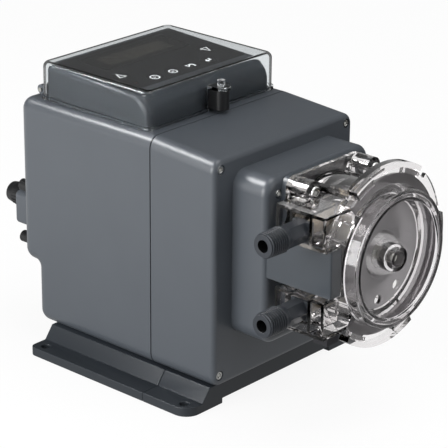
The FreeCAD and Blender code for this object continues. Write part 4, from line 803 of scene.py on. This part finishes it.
@dataclass
class PumpHead:
    """The clear pump head with its fittings, tube, rotor and twist-on cover."""

    axis: float = 124.3 * MM
    port_offset: float = 28.9 * MM
    port_reach: float = -151 * MM
    port_end: float = -100 * MM
    bore_radius: float = 4.7 * MM
    mouth_depth: float = 0.6 * MM
    thread_start: float = 1.2 * MM
    thread_length: float = 17 * MM
    thread_pitch: float = 2.1 * MM
    ridge_low: float = 8.15 * MM
    ridge_high: float = 8.6 * MM
    ridge_radius: float = 0.8 * MM
    floor_radius: float = 42.5 * MM
    floor_front: float = -173.5 * MM
    floor_back: float = -170.5 * MM
    floor_facing: float = 0.9
    port_eased: float = 0.3
    screw_x: float = 33.0
    screw_low: float = 78.8
    screw_high: float = 169.8
    screw_seat: float = -138.0

    def build(self, ridge: bpy.types.NodeTree, on_points: bpy.types.NodeTree) -> None:
        """Dresses the head, adds its screws and winds the threads on its fittings.

        Args:
            ridge: the tree that winds a thread's ridge.
            on_points: the tree that sets objects on points.
        """
        # The bracket's darker plastic is painted shade.
        SHADED_BRACKET.dress("head_base")
        stand_in("head_housing", SMOKE, "pump")
        stand_in("head_cover", COVER, "head_cover", second=FROST, chosen=self.on_floor)
        TUBE.dress("pump_tube")
        STEEL.dress("roller_pins", "rotor_nut", "drive_shaft", "rear_bearing", "front_bearing")
        BUSH.dress("nose_bearing")
        ROTOR.dress("rotor_rear_plate", "rotor_front_plate", "rotor_hub")
        ROLLER.dress("roller_1", "roller_2", "roller_3")
        RUBBER.dress("rest_pad", "shaft_seal")
        screws = Fasteners(head_radius=4.45, head_height=3, shank_radius=2.5,
                           shank_length=32, recess_radius=2.4, recess_depth=2.2)
        screws.build("head_socket_screws", "head_screws", corners(
            self.screw_x, self.screw_low, self.screw_high, self.screw_seat), on_points)
        for name, side in (("suction", -1), ("discharge", 1)):
            self.port(name, self.axis + side * self.port_offset, ridge)
        log.info("pump head dressed")

    def port(self, name: str, height: float, ridge: bpy.types.NodeTree) -> None:
        """Finishes a fitting, black in its bore as painted shade, and winds its thread.

        Args:
            name: the fitting's name without its kind.
            height: the height of its axis, in metres.
            ridge: the tree that winds a thread's ridge.
        """
        # The bore's faces take black nylon: painted shade inside the bore.
        stand_in(name + "_fitting", FITTING, "pump", self.port_eased, BLACK,
                 lambda middle, _: self.in_shaded_bore(middle, height))
        mesh = grow(name + "_thread", point_mesh([]), ridge, {
            "Turns": self.thread_length / self.thread_pitch,
            "Low Radius": self.ridge_low, "High Radius": self.ridge_high,
            "Length": self.thread_length, "Ridge": self.ridge_radius,
            "Material": FITTING.material()})
        turn = Matrix.Rotation(math.radians(90), 4, "Y")
        foot = (self.port_end + self.thread_start, self.port_reach, height)
        mesh.transform(Matrix.Translation(foot) @ turn)
        add_piece(name + "_thread", mesh, FITTING, "pump")

    def on_floor(self, middle: Vector, normal: Vector) -> bool:
        """Tells whether a face of the cover belongs to its frosted floor.

        Args:
            middle: the face's middle.
            normal: its direction.

        Returns:
            True on the floor's two flat sides.
        """
        out = math.hypot(middle.x, middle.z - self.axis)
        level = self.floor_front < middle.y < self.floor_back
        return level and out < self.floor_radius and abs(normal.y) > self.floor_facing

    def in_shaded_bore(self, middle: Vector, height: float) -> bool:
        """Tells whether a face lies in a fitting's bore, past its mouth, where black is painted
        shade.

        Args:
            middle: the face's middle.
            height: the height of the bore's axis.

        Returns:
            True in the bore.
        """
        out = math.hypot(middle.y - self.port_reach, middle.z - height)
        return out < self.bore_radius and middle.x > self.port_end + self.mouth_depth


@dataclass
class RearConnections:
    """The terminal box, the cord gland and the signal glands."""

    gland_x: float = -39 * MM
    gland_z: float = 95.5 * MM
    nut_start: float = 144 * MM
    nut_length: float = 8 * MM
    rib_count: int = 18
    rib_ring: float = 8.6 * MM
    rib_width: float = 1.2 * MM
    rib_length: float = 6.4 * MM

    def build(self, ribs: bpy.types.NodeTree) -> None:
        """Dresses the rear pieces and adds the grip ribs of the gland's nut.

        Args:
            ribs: the tree that stands ribs round a circle.
        """
        HOUSING.dress("terminal_cover")
        BLACK.dress("power_gland", "gland_nut", "upper_signal_gland", "lower_signal_gland")
        mesh = grow("gland_nut_grip", point_mesh([]), ribs, {
            "Count": self.rib_count, "Radius": self.rib_ring, "Length": self.rib_length,
            "Width": self.rib_width, "Material": BLACK.material()})
        turn = Matrix.Rotation(math.radians(-90), 4, "X")
        middle = self.nut_start + self.nut_length / 2
        mesh.transform(Matrix.Translation((self.gland_x, middle, self.gland_z)) @ turn)
        add_piece("gland_nut_grip", mesh, BLACK, "pump")
        log.info("rear connections dressed")


@dataclass
class DriveTrain:
    """What turns inside the housing, and the electronics."""

    def build(self) -> None:
        """Dresses the motor, the gears and the boards."""
        STEEL.dress("gear_plate", "motor_shaft")
        MOTOR.dress("motor")
        BRASS.dress("motor_pinion")
        GEAR.dress("drive_gear")
        BOARD.dress("main_board")
        CORE.dress("transformer")
        log.info("drive train dressed")


@dataclass(frozen=True)
class Lamp:
    """A soft square lamp aimed at the pump. A narrow one shows in gloss only."""

    name: str
    place: tuple[float, float, float]
    watts: float
    side: float
    target: tuple[float, float, float] = (0, -0.03, 0.11)
    narrow_to: float | None = None

    def hang(self) -> None:
        """Adds the lamp to the scene."""
        data = bpy.data.lights.new(self.name, "AREA")
        data.energy = self.watts
        data.size = self.side
        item = bpy.data.objects.new(self.name, data)
        item.location = self.place
        aim = Vector(self.target) - Vector(self.place)
        item.rotation_euler = aim.to_track_quat("-Z", "Y").to_euler()
        bpy.context.scene.collection.objects.link(item)
        if self.narrow_to is not None:
            item.visible_diffuse = False
            data.spread = math.radians(self.narrow_to)


LAMPS = (Lamp("key_lamp", (-1.7, 0.25, 0.55), 36, 1.2),
         Lamp("top_lamp", (0.15, -0.4, 1.8), 13, 1.2),
         Lamp("front_lamp", (0.5, -1.8, 0.7), 5, 1.0),
         Lamp("edge_lamp", (-0.29, 0.29, 0.60), 0.15, 0.24, (-0.07, -0.11, 0.17), 24))


@dataclass
class Studio:
    """The pale floor, the lamps, the white surroundings and the camera."""

    dim: float = 0.5
    mirrored: float = 0.14
    sky_from: float = -0.15
    sky_to: float = 0.15
    floor_half: float = 5.0
    floor_white: float = 0.9
    left: tuple[float, float, float] = (-0.74, 0.67, 0.0)
    left_range: tuple[float, float] = (-0.1, 0.45)
    left_glow: tuple[float, float] = (0.04, 0.95)
    ahead: tuple[float, float, float] = (0.74, -0.67, 0.0)
    ahead_range: tuple[float, float] = (0.15, 0.42)
    ahead_glow: tuple[float, float] = (0.5, 0.0)
    sharp_glow: float = 0.95
    eye: tuple[float, float, float] = (-1.09945, -1.01083, 0.69310)
    target: tuple[float, float, float] = (-0.06478, -0.085, 0.14112)
    roll: float = 0.48
    lens: float = 173.45
    sensor: float = 36.0
    clip: tuple[float, float] = (0.05, 50.0)

    def build(self) -> None:
        """Builds everything that isn't the pump."""
        self.floor()
        self.surroundings()
        for lamp in LAMPS:
            lamp.hang()
        self.camera()
        bpy.context.scene.view_settings.view_transform = "Standard"

    def floor(self) -> None:
        """A plain pale floor that keeps the pump's shadow."""
        mesh = bpy.data.meshes.new("floor")
        half = self.floor_half
        mesh.from_pydata([(-half, -half, 0), (half, -half, 0), (half, half, 0), (-half, half, 0)],
                         [], [(0, 1, 2, 3)])
        made = bpy.data.materials.new("pale_floor")
        made.use_nodes = True
        tree = made.node_tree
        tree.nodes.clear()
        dull = add_node(tree, "ShaderNodeBsdfDiffuse", {"Color": linear("8c8c8c")})
        pale = add_node(tree, "ShaderNodeBsdfDiffuse", {"Color": linear("f4f4f4")})
        glow = add_node(tree, "ShaderNodeEmission", {"Color": WHITE, "Strength": 1.0})
        shown = add_node(tree, "ShaderNodeMixShader", {0: self.floor_white},
                         {1: pale.outputs["BSDF"], 2: glow.outputs["Emission"]})
        mixed = add_node(tree, "ShaderNodeMixShader", None,
                         {0: self.seen(tree), 1: dull.outputs["BSDF"],
                          2: shown.outputs["Shader"]})
        path = add_node(tree, "ShaderNodeLightPath")
        gloss = add_node(tree, "ShaderNodeMath", {"operation": "MULTIPLY"},
                         {0: path.outputs["Is Glossy Ray"], 1: path.outputs["Is Reflection Ray"]})
        mirror = add_node(tree, "ShaderNodeMixShader", None, {
            0: gloss.outputs["Value"], 1: mixed.outputs["Shader"],
            2: self.reflected(tree, path).outputs["Emission"]})
        add_node(tree, "ShaderNodeOutputMaterial", None, {"Surface": mirror.outputs["Shader"]})
        mesh.materials.append(made)
        item = bpy.data.objects.new("floor", mesh)
        bpy.context.scene.collection.objects.link(item)

    def reflected(self, tree: bpy.types.NodeTree, path: bpy.types.Node) -> bpy.types.Node:
        """Adds the glow that reflections find on the floor: pale at hand, dark far in front.

        Args:
            tree: the floor's node tree.
            path: its Light Path node.

        Returns:
            The glow's node.
        """
        place = add_node(tree, "ShaderNodeTexCoord")
        pale = self.slope(tree, place, self.left, self.left_range, self.left_glow)
        near = self.slope(tree, place, self.ahead, self.ahead_range, self.ahead_glow)
        both = add_node(tree, "ShaderNodeMath", {"operation": "MAXIMUM"},
                        {0: pale.outputs["Result"], 1: near.outputs["Result"]})
        sharp = add_node(tree, "ShaderNodeMapRange", {"To Min": 1.0, "To Max": self.sharp_glow},
                         {"Value": path.outputs["Is Singular Ray"]})
        glow = add_node(tree, "ShaderNodeMath", {"operation": "MULTIPLY"},
                        {0: both.outputs["Value"], 1: sharp.outputs["Result"]})
        return add_node(tree, "ShaderNodeEmission", {"Color": WHITE},
                        {"Strength": glow.outputs["Value"]})

    def slope(self, tree: bpy.types.NodeTree, place: bpy.types.Node,
              towards: tuple[float, float, float], reach: tuple[float, float],
              levels: tuple[float, float]) -> bpy.types.Node:
        """Adds a level that changes evenly across the floor.

        Args:
            tree: the floor's node tree.
            place: its Texture Coordinate node.
            towards: the direction that it changes in.
            reach: where it starts and ends, in metres from the pump's middle.
            levels: its values there.

        Returns:
            The level's node.
        """
        along = add_node(tree, "ShaderNodeVectorMath", {"operation": "DOT_PRODUCT", 1: towards},
                         {0: place.outputs["Object"]})
        return add_node(tree, "ShaderNodeMapRange",
                        {"From Min": reach[0], "From Max": reach[1],
                         "To Min": levels[0], "To Max": levels[1]},
                        {"Value": along.outputs["Value"]})

    def seen(self, tree: bpy.types.NodeTree) -> bpy.types.NodeSocket:
        """Adds the nodes that tell what the eye sees, straight or through clear plastic.

        Args:
            tree: the floor's or the world's node tree.

        Returns:
            A socket that is one for such rays and zero for those that light the pump.
        """
        path = add_node(tree, "ShaderNodeLightPath")
        clear = add_node(tree, "ShaderNodeMath", {"operation": "MAXIMUM"},
                         {0: path.outputs["Is Camera Ray"],
                          1: path.outputs["Is Transmission Ray"]})
        direct = add_node(tree, "ShaderNodeMath", {"operation": "LESS_THAN", 1: 0.5},
                          {0: path.outputs["Glossy Depth"]})
        plain = add_node(tree, "ShaderNodeMath", {"operation": "MAXIMUM"},
                         {0: direct.outputs["Value"], 1: path.outputs["Is Singular Ray"]})
        sharp = add_node(tree, "ShaderNodeMath", {"operation": "MULTIPLY"},
                         {0: clear.outputs["Value"], 1: plain.outputs["Value"]})
        undimmed = add_node(tree, "ShaderNodeMath", {"operation": "LESS_THAN", 1: 0.5},
                            {0: path.outputs["Diffuse Depth"]})
        kept = add_node(tree, "ShaderNodeMath", {"operation": "MULTIPLY"},
                        {0: sharp.outputs["Value"], 1: undimmed.outputs["Value"]})
        return kept.outputs["Value"]

    def surroundings(self) -> None:
        """White to the eye and in sharp reflections, and a plain grey light on the pump."""
        world = bpy.data.worlds.new("surroundings")
        bpy.context.scene.world = world
        world.use_nodes = True
        tree = world.node_tree
        tree.nodes.clear()
        path = add_node(tree, "ShaderNodeLightPath")
        plain = add_node(tree, "ShaderNodeMapRange", {"To Min": self.dim, "To Max": self.mirrored},
                         {"Value": path.outputs["Is Glossy Ray"]})
        light = add_node(tree, "ShaderNodeMath", {"operation": "MAXIMUM"},
                         {0: self.seen(tree), 1: plain.outputs["Result"]})
        place = add_node(tree, "ShaderNodeTexCoord")
        rise = add_node(tree, "ShaderNodeSeparateXYZ", None, {0: place.outputs["Generated"]})
        sky = add_node(tree, "ShaderNodeMapRange",
                       {"From Min": self.sky_from, "From Max": self.sky_to},
                       {"Value": rise.outputs["Z"]})
        gleam = add_node(tree, "ShaderNodeMath", {"operation": "MULTIPLY"},
                         {0: sky.outputs["Result"], 1: path.outputs["Is Singular Ray"]})
        lit = add_node(tree, "ShaderNodeMath", {"operation": "MAXIMUM"},
                       {0: light.outputs["Value"], 1: gleam.outputs["Value"]})
        back = add_node(tree, "ShaderNodeBackground", {"Color": WHITE},
                        {"Strength": lit.outputs["Value"]})
        add_node(tree, "ShaderNodeOutputWorld", None, {"Surface": back.outputs["Background"]})

    def camera(self) -> None:
        """Places the camera at the photograph's angle."""
        eye = Vector(self.eye)
        ahead = (Vector(self.target) - eye).normalized()
        right = ahead.cross(Vector((0, 0, 1))).normalized()
        up = right.cross(ahead)
        tilt = math.radians(self.roll)
        level = right * math.cos(tilt) + up * math.sin(tilt)
        rise = up * math.cos(tilt) - right * math.sin(tilt)
        data = bpy.data.cameras.new("camera")
        data.lens = self.lens
        data.sensor_width = self.sensor
        data.clip_start, data.clip_end = self.clip
        item = bpy.data.objects.new("camera", data)
        item.matrix_world = Matrix.Translation(eye) @ Matrix(
            (level, rise, -ahead)).transposed().to_4x4()
        bpy.context.scene.collection.objects.link(item)
        bpy.context.scene.camera = item


def main() -> None:
    """Builds the studio, then the pump's sub-assemblies in order."""
    logging.basicConfig(level=logging.INFO)
    Studio().build()
    on_points, ridge, ribs = scatter_tree(), spiral_tree(), ribs_tree()
    Stand().build()
    DriveHousing().build(on_points)
    Keypad().build()
    PumpHead().build(ridge, on_points)
    RearConnections().build(ribs)
    DriveTrain().build()


if __name__ == "__main__":
    main()
